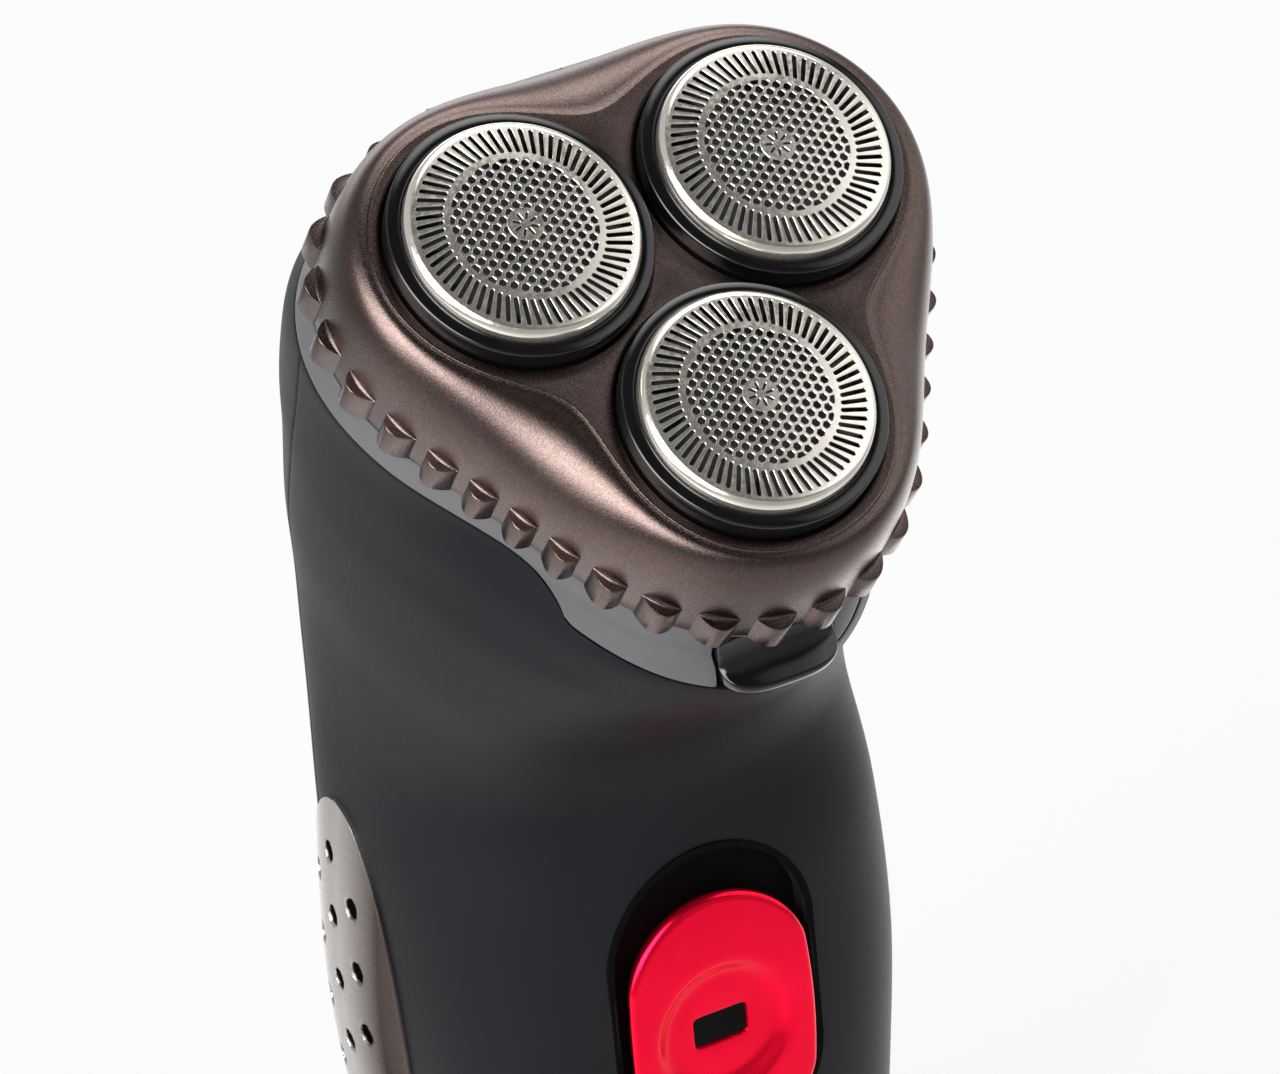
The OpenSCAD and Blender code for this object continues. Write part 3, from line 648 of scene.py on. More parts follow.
def boreLoops(bm):
    loops = []
    for angle in head["angles"]:
        centre = polar(head["pitch"], angle)
        made = bmesh.ops.create_circle(bm, segments=cover["boreSides"], radius=cover["boreLip"])["verts"]
        shift(bm, made, centre + Vector((0, 0, cover["plateau"])))
        loops.append((centre, edgesOf(made)))
    return loops


def ribPiece(middle):
    def ribPlace(c, t):
        u = 2 * c - 1
        out, z, rise = ribRows[round(t * len(ribRows)) % len(ribRows)]
        a = middle + u * cover["ribHalf"]
        r = coverRim(a) + cover["ribGap"] + out * (cover["ribBulge"] * (1 - u * u) if out > 0 else 1)
        z += cover["ribTop"] + rise * cover["ribRise"] * (1 - u * u)
        return polar(r, a, z)

    rib = gridPiece(cover["ribColumns"], len(ribRows), ribPlace)
    closeEnds(rib)
    bmesh.ops.dissolve_degenerate(rib, edges=rib.edges, dist=weld / 2)
    faceOut(rib)
    return rib


def addEars(bm):
    # two ears that the cover swings on
    hy, hz, kr = cover["hingeY"], cover["hingeZ"], cover["knuckle"]
    web = [(cover["earRoot"], cover["earTop"]), (hy + 0.3, hz + kr + 0.6)]
    web += [(hy + kr * cosd(a), hz + kr * sind(a)) for a in range(30, -211, -15)]
    web += [(hy - 2.2, hz + 1.75), (cover["earRoot"], cover["earLow"])]
    for side in (-1, 1):
        turn = Matrix.Translation((side * cover["earX"] - cover["earWidth"] / 2, 0, 0)) @ sideways
        addTo(bm, platePiece(web, cover["earWidth"], turn))


def makeCover():
    bm = gridPiece(cover["columns"], coverRows - 1, coverPlace)
    under = cover["plateau"] - cover["wall"]
    topEdges = ringOfEdges(bm, cover["plateau"])
    lowEdges = ringOfEdges(bm, under)
    bores = boreLoops(bm)
    fillFlat(bm, topEdges + [e for centre, loop in bores for e in loop])
    steps = [(cover["bore"] + out, cover["plateau"] + rise) for out, rise in boreSteps]
    for centre, loop in bores:
        for radius, z in steps + [(cover["bore"], under)]:
            pulled = bmesh.ops.extrude_edge_only(bm, edges=loop)["geom"]
            loop = [g for g in pulled if isinstance(g, bmesh.types.BMEdge)]
            for vert in {v for e in loop for v in e.verts}:
                away = Vector((vert.co.x, vert.co.y, 0)) - centre
                vert.co = centre + away.normalized() * radius + Vector((0, 0, z))
        lowEdges += loop
    fillFlat(bm, lowEdges, -1)
    faceOut(bm)
    for k in range(cover["ribs"]):
        addTo(bm, ribPiece(cover["firstRib"] + k * 360 / cover["ribs"]))
    roundPost(bm, (0, 0), cover["studRadius"], cover["studLow"], under + cover["postSink"])
    for angle in cover["postAngles"]:
        roundPost(bm, polar(cover["postRing"], angle), cover["postRadius"], cover["postLow"],
                  under + cover["postSink"])
    addEars(bm)
    finishPiece("headCover", bm, "head_cover", headMatrix, 32, normals=False)


makeCover()

# black rings and metal guards of the three cutters

ringProfile = ((11.05, -6.0), (12.7, -6.0), (12.8, -5.9), (12.8, -4.9), (12.7, -4.8), (12.42, -4.8),
               (12.36, -4.72), (12.36, -0.75), (12.33, -0.62), (12.25, -0.54), (12.14, -0.5),
               (11.3, -0.38), (11.12, -0.42), (11.06, -0.55))
guard = {"slots": 64, "slotLow": 7.4, "slotHigh": 10.0, "slotWidth": 0.44, "lean": 13.0, "bandLow": 7.15,
         "bandHigh": 10.12, "innerTurn": -2.45, "outerTurn": 1.78, "top": 0.9, "meshRadius": 6.95,
         "ringLow": 7.03, "pitch": 1.04, "cellOut": 0.55, "cellIn": 1.2, "wholeCell": 0.7,
         "leastCell": 0.22, "web": 0.155, "borderWeb": 0.09, "disc": 1.55, "bossEdge": 0.16,
         "bossTop": 0.93, "slits": 8, "slitRadius": 0.14, "slitHalf": 0.26, "slitRing": 0.86,
         "sheet": 0.15, "edge": 0.035, "dome": 0.42, "ringColumns": 128}
guardWall = ((11.0, -5.8), (11.0, -2.0), (11.0, -0.2), (10.98, 0.08), (10.93, 0.3), (10.83, 0.5),
             (10.7, 0.66), (10.53, 0.79), (10.36, 0.86), (10.22, 0.893), (10.12, 0.9))


def longHole(bm, sides, radius, stretch):
    # a circle drawn out along x, with two of its corners side by side at each end
    hole = bmesh.ops.create_circle(bm, segments=sides, radius=radius)["verts"]
    turnRound(bm, hole, 180 / sides)
    for vert in hole:
        vert.co.x += math.copysign(stretch, vert.co.x)
    return hole


def guardSector(bm):
    # one leaning slot in its share of the flat band
    share = 360 / guard["slots"]
    corners = []
    for radius, turn, order in ((guard["bandLow"], guard["innerTurn"], (0, 1, 2)),
                                (guard["bandHigh"], guard["outerTurn"], (2, 1, 0))):
        for k in order:
            a = (k - 1) * share / 2 + turn
            corners.append(bm.verts.new(polar(radius, a, guard["top"])))
    edges = [bm.edges.new((corners[k], corners[(k + 1) % 6])) for k in range(6)]
    stretch = (guard["slotHigh"] - guard["slotLow"] - guard["slotWidth"]) / 2
    slot = longHole(bm, 12, guard["slotWidth"] / 2, stretch)
    turnRound(bm, slot, guard["lean"])
    shift(bm, slot, ((guard["slotLow"] + guard["slotHigh"]) / 2, 0, guard["top"]))
    fillFlat(bm, edges + edgesOf(slot))


def honeycomb(bm):
    # six-sided cells cut off at the edge of the disc and round the middle boss
    pitch, reach = guard["pitch"], guard["meshRadius"]
    span = int(2 * reach / pitch / math.sqrt(3)) + 2
    for u in range(-span, span + 1):
        for v in range(-span, span + 1):
            x, y = (u + v / 2) * pitch, v * pitch * math.sqrt(3) / 2
            if guard["cellIn"] <= math.hypot(x, y) <= reach + guard["cellOut"]:
                radius = pitch / math.sqrt(3)
                made = bmesh.ops.create_circle(bm, cap_ends=True, segments=6, radius=radius)["verts"]
                shift(bm, made, (x, y, guard["top"]))
    join(bm, 0.01)
    for vert in bm.verts:
        far = math.hypot(vert.co.x, vert.co.y)
        near = min(max(far, guard["disc"]), reach)
        vert.co.x *= near / far
        vert.co.y *= near / far
    join(bm, 0.02)
    bmesh.ops.dissolve_degenerate(bm, edges=bm.edges, dist=0.02)
    whole = [f for f in bm.faces if f.calc_area() > guard["wholeCell"]]
    parts = [f for f in bm.faces if guard["leastCell"] < f.calc_area() <= guard["wholeCell"]]
    bmesh.ops.inset_individual(bm, faces=whole, thickness=guard["web"], use_even_offset=True)
    bmesh.ops.inset_individual(bm, faces=parts, thickness=guard["borderWeb"], use_even_offset=True)
    bmesh.ops.delete(bm, geom=whole + parts, context="FACES")


def guardBoss():
    # middle of the guard with short slits all round
    boss = bmesh.new()
    outline = bmesh.ops.create_circle(boss, segments=48, radius=guard["disc"] + guard["bossEdge"])["verts"]
    shift(boss, outline, (0, 0, guard["bossTop"]))
    for k in range(guard["slits"]):
        slit = longHole(boss, 8, guard["slitRadius"], guard["slitHalf"])
        shift(boss, slit, (guard["slitRing"], 0, guard["bossTop"]))
        turnRound(boss, slit, 360 * k / guard["slits"])
    fillFlat(boss, boss.edges[:])
    return boss


def guardBand():
    band = bmesh.new()
    guardSector(band)
    bmesh.ops.spin(band, geom=allOf(band), cent=(0, 0, 0), axis=(0, 0, 1), angle=2 * math.pi,
                   steps=guard["slots"], use_duplicate=True)
    join(band, 0.003)
    return band


def loopsNear(bm, radius):
    return [e for e in rimEdges(bm)
            if all(abs(math.hypot(v.co.x, v.co.y) - radius) < 0.01 for v in e.verts)]


def makeGuardMesh():
    bm = bmesh.new()
    honeycomb(bm)
    addTo(bm, guardBoss())
    # plain ring between the mesh and the slotted band
    outer = loopsNear(bm, guard["meshRadius"])
    plain = ((guard["ringLow"], guard["top"]), (guard["bandLow"], guard["top"]))
    addTo(bm, spunPiece(plain, 2 * guard["slots"], guard["innerTurn"], closed=False))
    fillFlat(bm, outer + loopsNear(bm, guard["ringLow"]))
    addTo(bm, guardBand())
    addTo(bm, spunPiece(guardWall, 2 * guard["slots"], guard["outerTurn"], closed=False))
    join(bm, 0.003)
    outward(bm, Vector((0, 0, -4)))
    for vert in bm.verts:
        far = math.hypot(vert.co.x, vert.co.y) / guard["bandHigh"]
        vert.co.z += guard["dome"] * max(0, 1 - far * far)
    return bm


guardMesh = makeGuardMesh()
for number, angle in enumerate(head["angles"], 1):
    ring, foil = f"guard_ring_{number}", f"guard_foil_{number}"
    ringMesh = spunPiece(ringProfile, guard["ringColumns"])
    finishPiece(f"guardRing{number}", ringMesh, ring, cutterMatrix(angle))
    finishPiece(f"guardFoil{number}", guardMesh.copy(), foil, cutterMatrix(angle), 30,
                wall=guard["sheet"], edge=guard["edge"], segments=1, normals=False)
guardMesh.free()

# handle surface, rows of front y and z, rear y and z, half width, corner power, share of head outline

handleRows = [
    (-17, 3, 18, 3, 21, 2.5, 0), (-20.3, 25, 21, 25, 24.2, 2.5, 0), (-21.9, 45, 22.3, 45, 26.4, 2.5, 0),
    (-22.6, 60, 22.8, 62, 27.5, 2.5, 0), (-22.4, 75, 23.6, 80, 26.9, 2.5, 0),
    (-20.8, 85, 24.2, 94, 25.8, 2.55, 0.03), (-21.3, 90, 23.8, 102, 25.6, 2.6, 0.06),
    (-24.7, 95.5, 22.5, 111, 26, 2.6, 0.12), (-30.3, 100.5, 20.1, 120.7, 27, 2.6, 0.25),
    (-37.3, 105.5, 16.6, 131.2, 27.7, 2.45, 0.45), (-40, 107.8, 15, 137, 27.9, 2.35, 0.57),
    (-42, 110, 12.2, 142.1, 28.0, 2.25, 0.7), (-42.3, 112, 7.8, 146.8, 28.1, 2.15, 0.86)]
collar = {"edge": -19.4, "apron": -22.1, "apronRise": 0.25, "apronReach": 10.0, "stepX": 16.9,
          "stepWidth": 3.5, "corner": 0.5, "top": -15.2, "wall": 1.9, "gap": 0.12,
          "drop": (0.2, 0.08, 0.02), "columns": 300, "girth": 170, "bands": ((0.59, 0.67), (0.83, 0.91)),
          "rows": 12, "height": 5.0, "borders": (0.0, 0.04, 0.11, 0.24), "middle": (0, -15, 128),
          "lowRow": 7.5, "barrelRoot": 23.2, "barrelTop": -15.4, "barrelFoot": 24.6, "barrelLow": -18.6,
          "barrelGap": 0.3}
# the outline of the head by its half width, its shift and its depth, and how far the neck draws in
neck = {"half": 27.28, "shift": 5.85, "depth": 56.05, "drawLeft": 0.08, "drawRight": 0.19, "drawRate": 1.5}


def headRow(z, front, rear, width):
    low = headInverse.inverted() @ Vector((0, front, z))
    high = headInverse.inverted() @ Vector((0, rear, z))
    return (low.y, low.z, high.y, high.z, width, 2, 1)


handleRows += [headRow(collar["edge"], -30.9, 26.1, 28.1), headRow(collar["top"], -31, 25, 27.8)]
rowTables = [[(i, row[k]) for i, row in enumerate(handleRows)] for k in range(7)]
lastRow = len(handleRows) - 1


def handleRow(u):
    return [between(table, u) for table in rowTables]


def reachOf(a, power):
    # a circle squared up towards its corners
    return (abs(cosd(a)) ** power + abs(sind(a)) ** power) ** (-1 / power)


def handlePoint(u, a):
    y0, z0, y1, z1, half, power, share = handleRow(u)
    corner = reachOf(a, power)
    x = ((1 - share) * corner * cosd(a) + share * rim(a) * cosd(a) / neck["half"]) * half
    v = (1 - share) * corner * sind(a) + share * (2 * rim(a) * sind(a) + neck["shift"]) / neck["depth"]
    # the neck draws in towards its front corners
    x *= 1 - (neck["drawRight"] if x > 0 else neck["drawLeft"]) * share * ease(-neck["drawRate"] * v)
    return Vector((x, (y0 + y1) / 2 + v * (y1 - y0) / 2, (z0 + z1) / 2 + v * (z1 - z0) / 2))


def headHeight(point):
    return (headInverse @ point).z


def collarEdge(point):
    # lower edge of the collar, rounded down to the deeper apron under the button
    x = abs(point.x) - collar["stepX"]
    if point.y > head["y"] + collar["apronReach"]:
        return collar["edge"]
    if x <= 0:
        return collar["apron"] + collar["apronRise"] * ease(1 + x / collar["corner"])
    s = max(0, 1 - x / collar["stepWidth"])
    return mix(collar["edge"], collar["apron"] + collar["apronRise"], 1 - math.sqrt(1 - s * s))


# two shells that meet at a seam, whose y is given by z

seam = ((-5, 5), (25, 6), (50, 7), (70, 8.5), (83, 10), (91.5, 11.2), (98, 10.9), (103, 10.3),
        (108.5, 8.8), (114, 6.6), (119.5, 3.4), (125, -0.4), (133, -5.6), (138, -8.6), (145, -12.2),
        (160, -20))
seamGap = 0.09
seamSteps = 168
seamAngles = {}
for side in (-1, 1):
    seamAngles[side] = []
    for k in range(seamSteps + 1):
        u = lastRow * k / seamSteps

        def offSeam(a):
            point = handlePoint(u, a)
            return point.y - between(seam, point.z) - side * seamGap

        seamAngles[side].append(solve(95, 265, offSeam))


def shellAngle(u, c, side):
    # side -1 is the front shell and 1 the rear one, c runs from seam to seam
    steps = u / lastRow * seamSteps
    k = min(int(steps), seamSteps - 1)
    left = mix(seamAngles[side][k], seamAngles[side][k + 1], steps - k)
    return mix(left, (540 if side < 0 else 180) - left, c)


borderDrop = (0.26, 0.1, 0.025)
# columns and rows are given by their number and the length they are spread over
shell = {"wall": 2.0, "lowRow": 8, "highRow": 13.9, "middle": (0, 0, 70), "frontColumns": (240, 105),
         "frontRows": (76, 128), "rearColumns": (112, 60), "rearRows": (76, 150),
         "crowded": ((0.23, 0.36), (0.64, 0.77))}
# tongue that closes the seam from inside, and its section across the seam and below the surface
tongue = {"rows": 120, "inset": 0.05, "turn": 0.5, "rise": 0.05}
tongueSection = ((-0.5, 0.8), (0.5, 0.8), (0.5, 1.6), (-0.5, 1.6))


def seamTongue(top):
    strips = bmesh.new()
    for hand in (0, 1):
        def tonguePlace(c, t):
            aside, deep = tongueSection[round(c * 4) % 4]
            u = mix(tongue["inset"], top - tongue["inset"], t)
            a = shellAngle(u, hand, -1)
            point = handlePoint(u, a)
            across = handlePoint(u, a + tongue["turn"]) - handlePoint(u, a - tongue["turn"])
            along = handlePoint(u + tongue["rise"], a) - handlePoint(u - tongue["rise"], a)
            across.normalize()
            inward = across.cross(along).normalized()
            if inward.x * point.x > 0:
                inward = -inward
            return point + across * aside + inward * deep

        strip = gridPiece(len(tongueSection), tongue["rows"], tonguePlace)
        closeEnds(strip)
        addTo(strips, strip)
    return strips


def makeShell(name, side, across, along, node, cuts):
    tops = {}

    def shellPlace(c, t):
        if c not in tops:
            def underCollar(u):
                point = handlePoint(u, shellAngle(u, c, side))
                return headHeight(point) - collarEdge(point) + collar["gap"]

            tops[c] = solve(shell["lowRow"], shell["highRow"], underCollar)
        u = tops[c] * t
        return handlePoint(u, shellAngle(u, c, side))

    bm = markedPiece(across, along, shellPlace)
    outward(bm, Vector(shell["middle"]))
    drops = roundEdges(bm, borderDrop)
    strips = seamTongue(tops[0.0]) if side < 0 else None
    finishPiece(name, bm, node, wall=shell["wall"], drops=drops, cuts=cuts, normals=False,
                extra=strips)


def frontY(x, z):
    # the front of the handle at a place across and up
    v = -1
    for step in range(4):
        heights = [(mix(row[1], row[3], (v + 1) / 2), i) for i, row in enumerate(handleRows[:9])]
        y0, z0, y1, z1, half, power, share = handleRow(between(heights, z))
        v = -(1 - min(1, abs(x) / half) ** power) ** (1 / power)
    return mix(y0, y1, (v + 1) / 2)


recess = {"width": 21.2, "length": 34.9, "z": 63.6, "columns": 144, "floor": -14.0, "front": -30.0}
# the cutting block by growth and depth below the face: it widens towards the face, which leaves a soft
# edge on the shell, and its two ends lie at the floor and in front of the handle
recessSteps = ((0.0, 0), (0.0, 0.62), (0.05, 0.36), (0.17, 0.14), (0.36, 0.03), (0.6, -0.03), (0.9, 0))
recessEnds = {0: recess["floor"], len(recessSteps) - 1: recess["front"]}


def stadium(a, half, straight):
    return half * cosd(a), half * sind(a) + straight * max(-1, min(1, 4 * sind(a)))


def recessBlock():
    half, straight = recess["width"] / 2, (recess["length"] - recess["width"]) / 2

    def blockPlace(c, t):
        row = round(t * (len(recessSteps) - 1))
        grow, deep = recessSteps[row]
        x, z = stadium(360 * c, half + grow, straight)
        edgeX, edgeZ = stadium(360 * c, half, straight)
        y = recessEnds[row] if row in recessEnds else frontY(edgeX, recess["z"] + edgeZ) + deep
        return x, y, recess["z"] + z

    bm = gridPiece(recess["columns"], len(recessSteps) - 1, blockPlace)
    closeEnds(bm)
    return bm


# columns lie closer together where the recess is cut
frontColumns = marks(*shell["frontColumns"], bands=shell["crowded"])
makeShell("frontShell", -1, frontColumns, marks(*shell["frontRows"]), "front_shell", [recessBlock()])
makeShell("rearShell", 1, marks(*shell["rearColumns"]), marks(*shell["rearRows"]), "rear_shell", [])

# release button under the front lobe, a low lip with a hollow top for the thumb

button = {"half": 6.1, "gap": 0.25, "front": -34.1, "root": -30.0, "corner": 3.2, "back": -28.6,
          "wall": -29.3, "bottom": -21.75, "lip": -20.35, "top": -16.6, "columns": 26, "hollow": 10,
          "notch": -16.2, "roomDepth": 20, "roomHeight": 10, "sideTrim": 0.02, "topTrim": 0.03}
lipProfile = ((0.55, -0.02), (0.2, 0.06), (0.04, 0.26), (0.0, 0.55), (0.0, 0.95), (0.06, 1.18),
              (0.2, 1.34), (0.42, 1.4))


def makeButton():
    columns = button["columns"]
    across = [button["half"] * sind(90 * k / columns) for k in range(-columns, columns + 1)]
    hollow = [90 * k / button["hollow"] for k in range(1, button["hollow"] + 1)]
    rows = 1 + len(lipProfile) + len(hollow) + 1

    def buttonPlace(c, t):
        x = across[round(c * (len(across) - 1))]
        k = round(t * rows) % rows
        turn = (1 - abs(x / button["half"]) ** button["corner"]) ** (1 / button["corner"])
        front = mix(button["root"], button["front"], turn)
        if k == 0:
            return x, button["back"], button["bottom"]
        if k <= len(lipProfile):
            return x, front + lipProfile[k - 1][0], button["bottom"] + lipProfile[k - 1][1]
        if k < rows - 1:
            a = hollow[k - 1 - len(lipProfile)]
            y = mix(front + lipProfile[-1][0], button["wall"], sind(a))
            return x, y, mix(button["lip"], button["top"], 1 - cosd(a))
        return x, button["back"], button["top"]

    bm = gridPiece(len(across) - 1, rows, buttonPlace)
    closeEnds(bm)
    finishPiece("releaseButton", bm, "release_button", headMatrix, 42)


# collar between the handle and the head

def hingeBarrel():
    # what the cover hinges on, between the two ears
    hy, hz, kr = cover["hingeY"], cover["hingeZ"], cover["knuckle"]
    web = [(collar["barrelRoot"], collar["barrelTop"]), (hy - 1.2, hz + kr - 0.2)]
    web += [(hy + kr * cosd(a), hz + kr * sind(a)) for a in range(105, -106, -15)]
    web += [(collar["barrelFoot"], collar["barrelLow"]), (collar["barrelRoot"], collar["barrelLow"])]
    half = cover["earX"] - cover["earWidth"] / 2 - collar["barrelGap"]
    return platePiece(web, 2 * half, Matrix.Translation((-half, 0, 0)) @ sideways)


def makeCollar():
    def collarPlace(c, t):
        a = 360 * c

        def offLevel(u):
            point = handlePoint(u, a)
            return headHeight(point) - mix(collarEdge(point), collar["top"], t)

        return handlePoint(lastRow if t > 0.999 else solve(collar["lowRow"], lastRow, offLevel), a)

    across = marks(collar["columns"], collar["girth"], borders=(0.0,), bands=collar["bands"])
    along = marks(collar["rows"], collar["height"], borders=collar["borders"])
    bm = markedPiece(across, along, collarPlace)
    outward(bm, Vector(collar["middle"]))
    bm.transform(headInverse)
    # notch for the button, cut out of the skin before it gets its wall
    half = button["half"] + button["gap"]
    sides = (((half, 0, 0), (1, 0, 0)), ((-half, 0, 0), (1, 0, 0)), ((0, 0, button["notch"]), (0, 0, 1)))
    for place, normal in sides:
        bmesh.ops.bisect_plane(bm, geom=allOf(bm), dist=0.0001, plane_co=place, plane_no=normal)
    middles = [(f, f.calc_center_median()) for f in bm.faces]
    inside = [f for f, m in middles if abs(m.x) < half and m.y < 0 and m.z < button["notch"]]
    bmesh.ops.delete(bm, geom=inside, context="FACES")
    drops = roundEdges(bm, collar["drop"])
    # the sides of the wall lean in, so a straight cut leaves the button room to sink
    roomTop = button["notch"] - button["topTrim"]
    room = boxPiece((2 * (half - button["sideTrim"]), button["roomDepth"], button["roomHeight"]),
                    (0, button["root"], roomTop - button["roomHeight"] / 2))
    finishPiece("neckCollar", bm, "neck_collar", headMatrix, wall=collar["wall"], drops=drops,
                cuts=[room], normals=False, extra=hingeBarrel())


makeCollar()
makeButton()

# dotted grips on the two sides

grip = {"y": 3.4, "z": 58.4, "halfHeight": 26.0, "halfWidth": 11.0, "proud": 0.4, "crown": 0.9,
        "wall": 2.2, "columns": 84, "rows": 190, "rowBorders": (0.0, 0.02, 0.06, 0.12), "rowEase": 0.6,
        "leastHalf": 0.35, "dimple": 1.15, "dimpleDepth": 1.2, "dimpleFlat": 0.45, "dimpleRows": 8,
        "dimpleReach": 0.86, "pitch": 6.8, "first": 78.5, "stagger": 4.1, "aside": 4.4, "lean": 0.1,
        # the last five settings paint shade into the dots and onto the front side of the grip
        "leanFrom": 67.0, "dotShadeFrom": 0.86, "dotShadeReach": 0.76, "dotPaintedShade": (0.015, 0.013, 0.013),
        "frontShadeSpan": (-0.0045, 0.0025), "frontPaintedShade": (0.16, 0.14, 0.135)}
gripColumns = (-1, 0, 1)
gripDimples = []
for column in gripColumns:
    for k in range(grip["dimpleRows"]):
        z = grip["first"] - grip["pitch"] * k - (grip["stagger"] if column else 0)
        y = grip["y"] + column * grip["aside"] + grip["lean"] * (z - grip["leanFrom"])
        reach = math.hypot((y - grip["y"]) / grip["halfWidth"], (z - grip["z"]) / grip["halfHeight"])
        if reach < grip["dimpleReach"]:
            gripDimples.append((y, z))


def paintGripShade(tree):
    # painted shade: the lacquer is darkened inside the dots and on its front side, and its reflection is
    # taken out in the dots and dimmed on the front
    shader = tree.nodes["Principled BSDF"]
    base = shader.inputs["Base Color"].links[0].from_socket
    y, z = (addNode(tree, "SeparateXYZ", {"Vector": objectPlace(tree)}, axis) for axis in "YZ")

    def minus(a, b):
        return calc(tree, "SUBTRACT", a, b)

    def squares(a, b):
        return calc(tree, "ADD", calc(tree, "POWER", a, 2), calc(tree, "POWER", b, 2))

    lean = calc(tree, "MULTIPLY", minus(z, grip["leanFrom"] * mm), grip["lean"])
    across = minus(minus(y, grip["y"] * mm), lean)
    half = grip["pitch"] / 2 * mm
    nearest = None
    for column in gripColumns:
        first = grip["first"] - (grip["stagger"] if column else 0)
        rise = calc(tree, "WRAP", minus(z, first * mm), half, -half)
        away = calc(tree, "SQRT", squares(rise, minus(across, column * grip["aside"] * mm)))
        nearest = calc(tree, "MINIMUM", nearest, away) if nearest else away
    wide = calc(tree, "DIVIDE", minus(y, grip["y"] * mm), grip["halfWidth"] * mm)
    tall = calc(tree, "DIVIDE", minus(z, grip["z"] * mm), grip["halfHeight"] * mm)
    outside = calc(tree, "GREATER_THAN", squares(wide, tall), grip["dotShadeReach"])
    clear = spread(tree, nearest, 0, 1, grip["dotShadeFrom"] * grip["dimple"] * mm, grip["dimple"] * mm)
    dotShadeMask = calc(tree, "MAXIMUM", clear, outside)
    paintedShades = (tint(tree, dotShadeMask, grip["dotPaintedShade"], (1, 1, 1)),
              tint(tree, spread(tree, y, 0, 1, *grip["frontShadeSpan"]), grip["frontPaintedShade"], (1, 1, 1)))
    for shade in paintedShades:
        base = blend(tree, 1, base, shade, data_type="RGBA", blend_type="MULTIPLY")
    tree.links.new(base, shader.inputs["Base Color"])
    tree.links.new(paintedShades[1], shader.inputs["Specular Tint"])
    for name in ("Metallic", "Specular IOR Level"):
        socket = shader.inputs[name]
        tree.links.new(calc(tree, "MULTIPLY", dotShadeMask, socket.default_value), socket)


paintGripShade(slotFinish["grip_bronze"].node_tree)
meanHeights = [((row[1] + row[3]) / 2, i) for i, row in enumerate(handleRows[:8])]


def sideHalf(y, z):
    # half width of the handle at a place along and up
    level = z
    for step in range(3):
        y0, z0, y1, z1, half, power, share = handleRow(between(meanHeights, level))
        off = (y - (y0 + y1) / 2) / (y1 - y0)
        level = z - off * (z1 - z0)
    v = min(0.999, abs(off) * 2)
    return half * (1 - v ** power) ** (1 / power)


def makeGrip(name, side, node):
    def gripPlace(c, t, back=0.0):
        v = 2 * c - 1
        h = mix(2 * t - 1, sind(180 * t - 90), grip["rowEase"])
        width = max(grip["leastHalf"], grip["halfWidth"] * math.sqrt(max(0, 1 - h * h)))
        y, z = grip["y"] + v * width, grip["z"] + h * grip["halfHeight"]
        x = sideHalf(y, z) + grip["proud"] + grip["crown"] * (1 - v * v) * (1 - h * h) - back
        for dy, dz in gripDimples:
            away = math.hypot(y - dy, z - dz) / grip["dimple"]
            if away < 1 and not back:
                wall = (away - grip["dimpleFlat"]) / (1 - grip["dimpleFlat"])
                x -= grip["dimpleDepth"] * (1 - ease(wall))
        return side * x, y, z

    across = marks(grip["columns"], 2 * grip["halfWidth"])
    along = marks(grip["rows"], 2 * grip["halfHeight"], borders=grip["rowBorders"])
    bm = markedPiece(across, along, gripPlace)
    outward(bm, Vector((0, grip["y"], grip["z"])))
    for vert, move in roundEdges(bm, borderDrop):
        vert.co -= move
    # plain back, joined to the face round the edge
    addTo(bm, markedPiece(across, along, lambda c, t: gripPlace(c, t, grip["wall"])))
    bmesh.ops.bridge_loops(bm, edges=rimEdges(bm))
    finishPiece(name, bm, node)


makeGrip("leftGrip", -1, "left_grip")
makeGrip("rightGrip", 1, "right_grip")

# slide switch

slider = {"width": 20.2, "length": 30.0, "z": 61.6, "columns": 128, "crown": 0.8, "crownFrom": -21.0,
          "windowPower": 9}
# rings from the window out to the back: half sizes of the window, radii of the dish or insets of the edge,
# each with its y
sliderRings = {
    "window": (((2.9, 1.7), -20.6), ((2.9, 1.7), -21.9), ((3.0, 1.8), -22.12), ((3.3, 2.1), -22.22)),
    "dish": ((4.6, -22.16), (5.3, -22.14), (5.75, -22.2), (6.15, -22.36), (6.6, -22.64), (7.05, -22.95),
             (7.45, -23.2), (7.8, -23.34), (8.25, -23.4), (8.9, -23.42)),
    "edge": ((0.95, -23.4), (0.6, -23.36), (0.32, -23.25), (0.12, -23.06), (0.02, -22.8), (0.1, -22.5),
             (0.9, -21.2), (1.3, -20.1))}


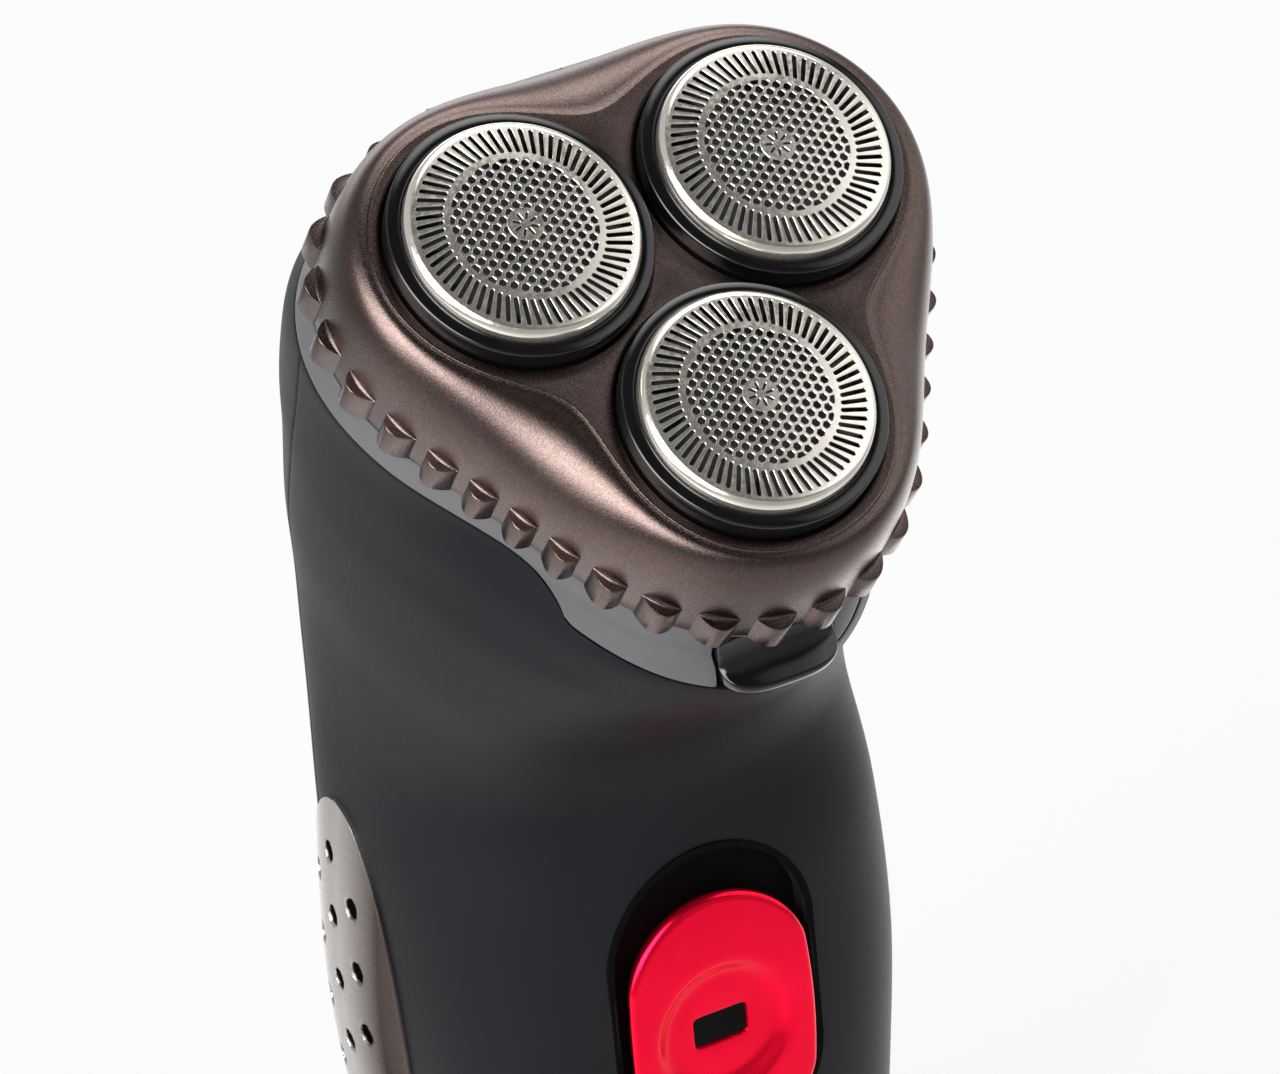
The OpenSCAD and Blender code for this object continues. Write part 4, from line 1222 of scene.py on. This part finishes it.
def makeSlider():
    half, straight = slider["width"] / 2, (slider["length"] - slider["width"]) / 2
    rings = [(kind, size, y) for kind, rows in sliderRings.items() for size, y in rows]

    def sliderPlace(c, t):
        kind, size, y = rings[round(t * (len(rings) - 1))]
        a = 360 * c
        if kind == "window":
            reach = reachOf(a, slider["windowPower"])
            x, z = size[0] * reach * cosd(a), size[1] * reach * sind(a)
        elif kind == "dish":
            x, z = size * cosd(a), size * sind(a)
        else:
            x, z = stadium(a, half - size, straight)
        if y < slider["crownFrom"]:
            y += slider["crown"] * (2 * z / slider["length"]) ** 2
        return x, y, slider["z"] + z

    bm = gridPiece(slider["columns"], len(rings) - 1, sliderPlace)
    bmesh.ops.bridge_loops(bm, edges=rimEdges(bm))
    finishPiece("switchSlider", bm, "switch_slider", angle=40)


makeSlider()

# foot with the charging inlet and two sunk screws

foot = {"half": 21.0, "front": -17.0, "rear": 18.0, "power": 2.5, "columns": 192,
        "inletSize": (12.4, 8.4, 20.0), "inletY": -7.0, "screwX": 13.0, "screwY": 2.0, "screwHole": 1.3,
        "screwHead": 2.5, "headDepth": 2.4, "cutLow": -5.0, "cutHigh": 8.0}
footProfile = ((0.55, 0.0), (0.2, 0.09), (0.05, 0.27), (0.0, 0.55), (0.0, 2.8), (0.06, 2.93), (0.2, 2.98))


def makeFoot():
    middle, depth = (foot["front"] + foot["rear"]) / 2, (foot["rear"] - foot["front"]) / 2

    def footPlace(c, t):
        inset, z = footProfile[round(t * (len(footProfile) - 1))]
        a = 360 * c
        reach = reachOf(a, foot["power"])
        return reach * cosd(a) * (foot["half"] - inset), middle + reach * sind(a) * (depth - inset), z

    bm = gridPiece(foot["columns"], len(footProfile) - 1, footPlace)
    closeEnds(bm)
    inlet, heads, holes = boxPiece(foot["inletSize"], (0, foot["inletY"], 0)), bmesh.new(), bmesh.new()
    for side in (-1, 1):
        place = (side * foot["screwX"], foot["screwY"])
        roundPost(heads, place, foot["screwHead"], foot["cutLow"], foot["headDepth"])
        roundPost(holes, place, foot["screwHole"], foot["cutLow"], foot["cutHigh"])
    finishPiece("footCap", bm, "foot_cap", cuts=[inlet, heads, holes])


makeFoot()
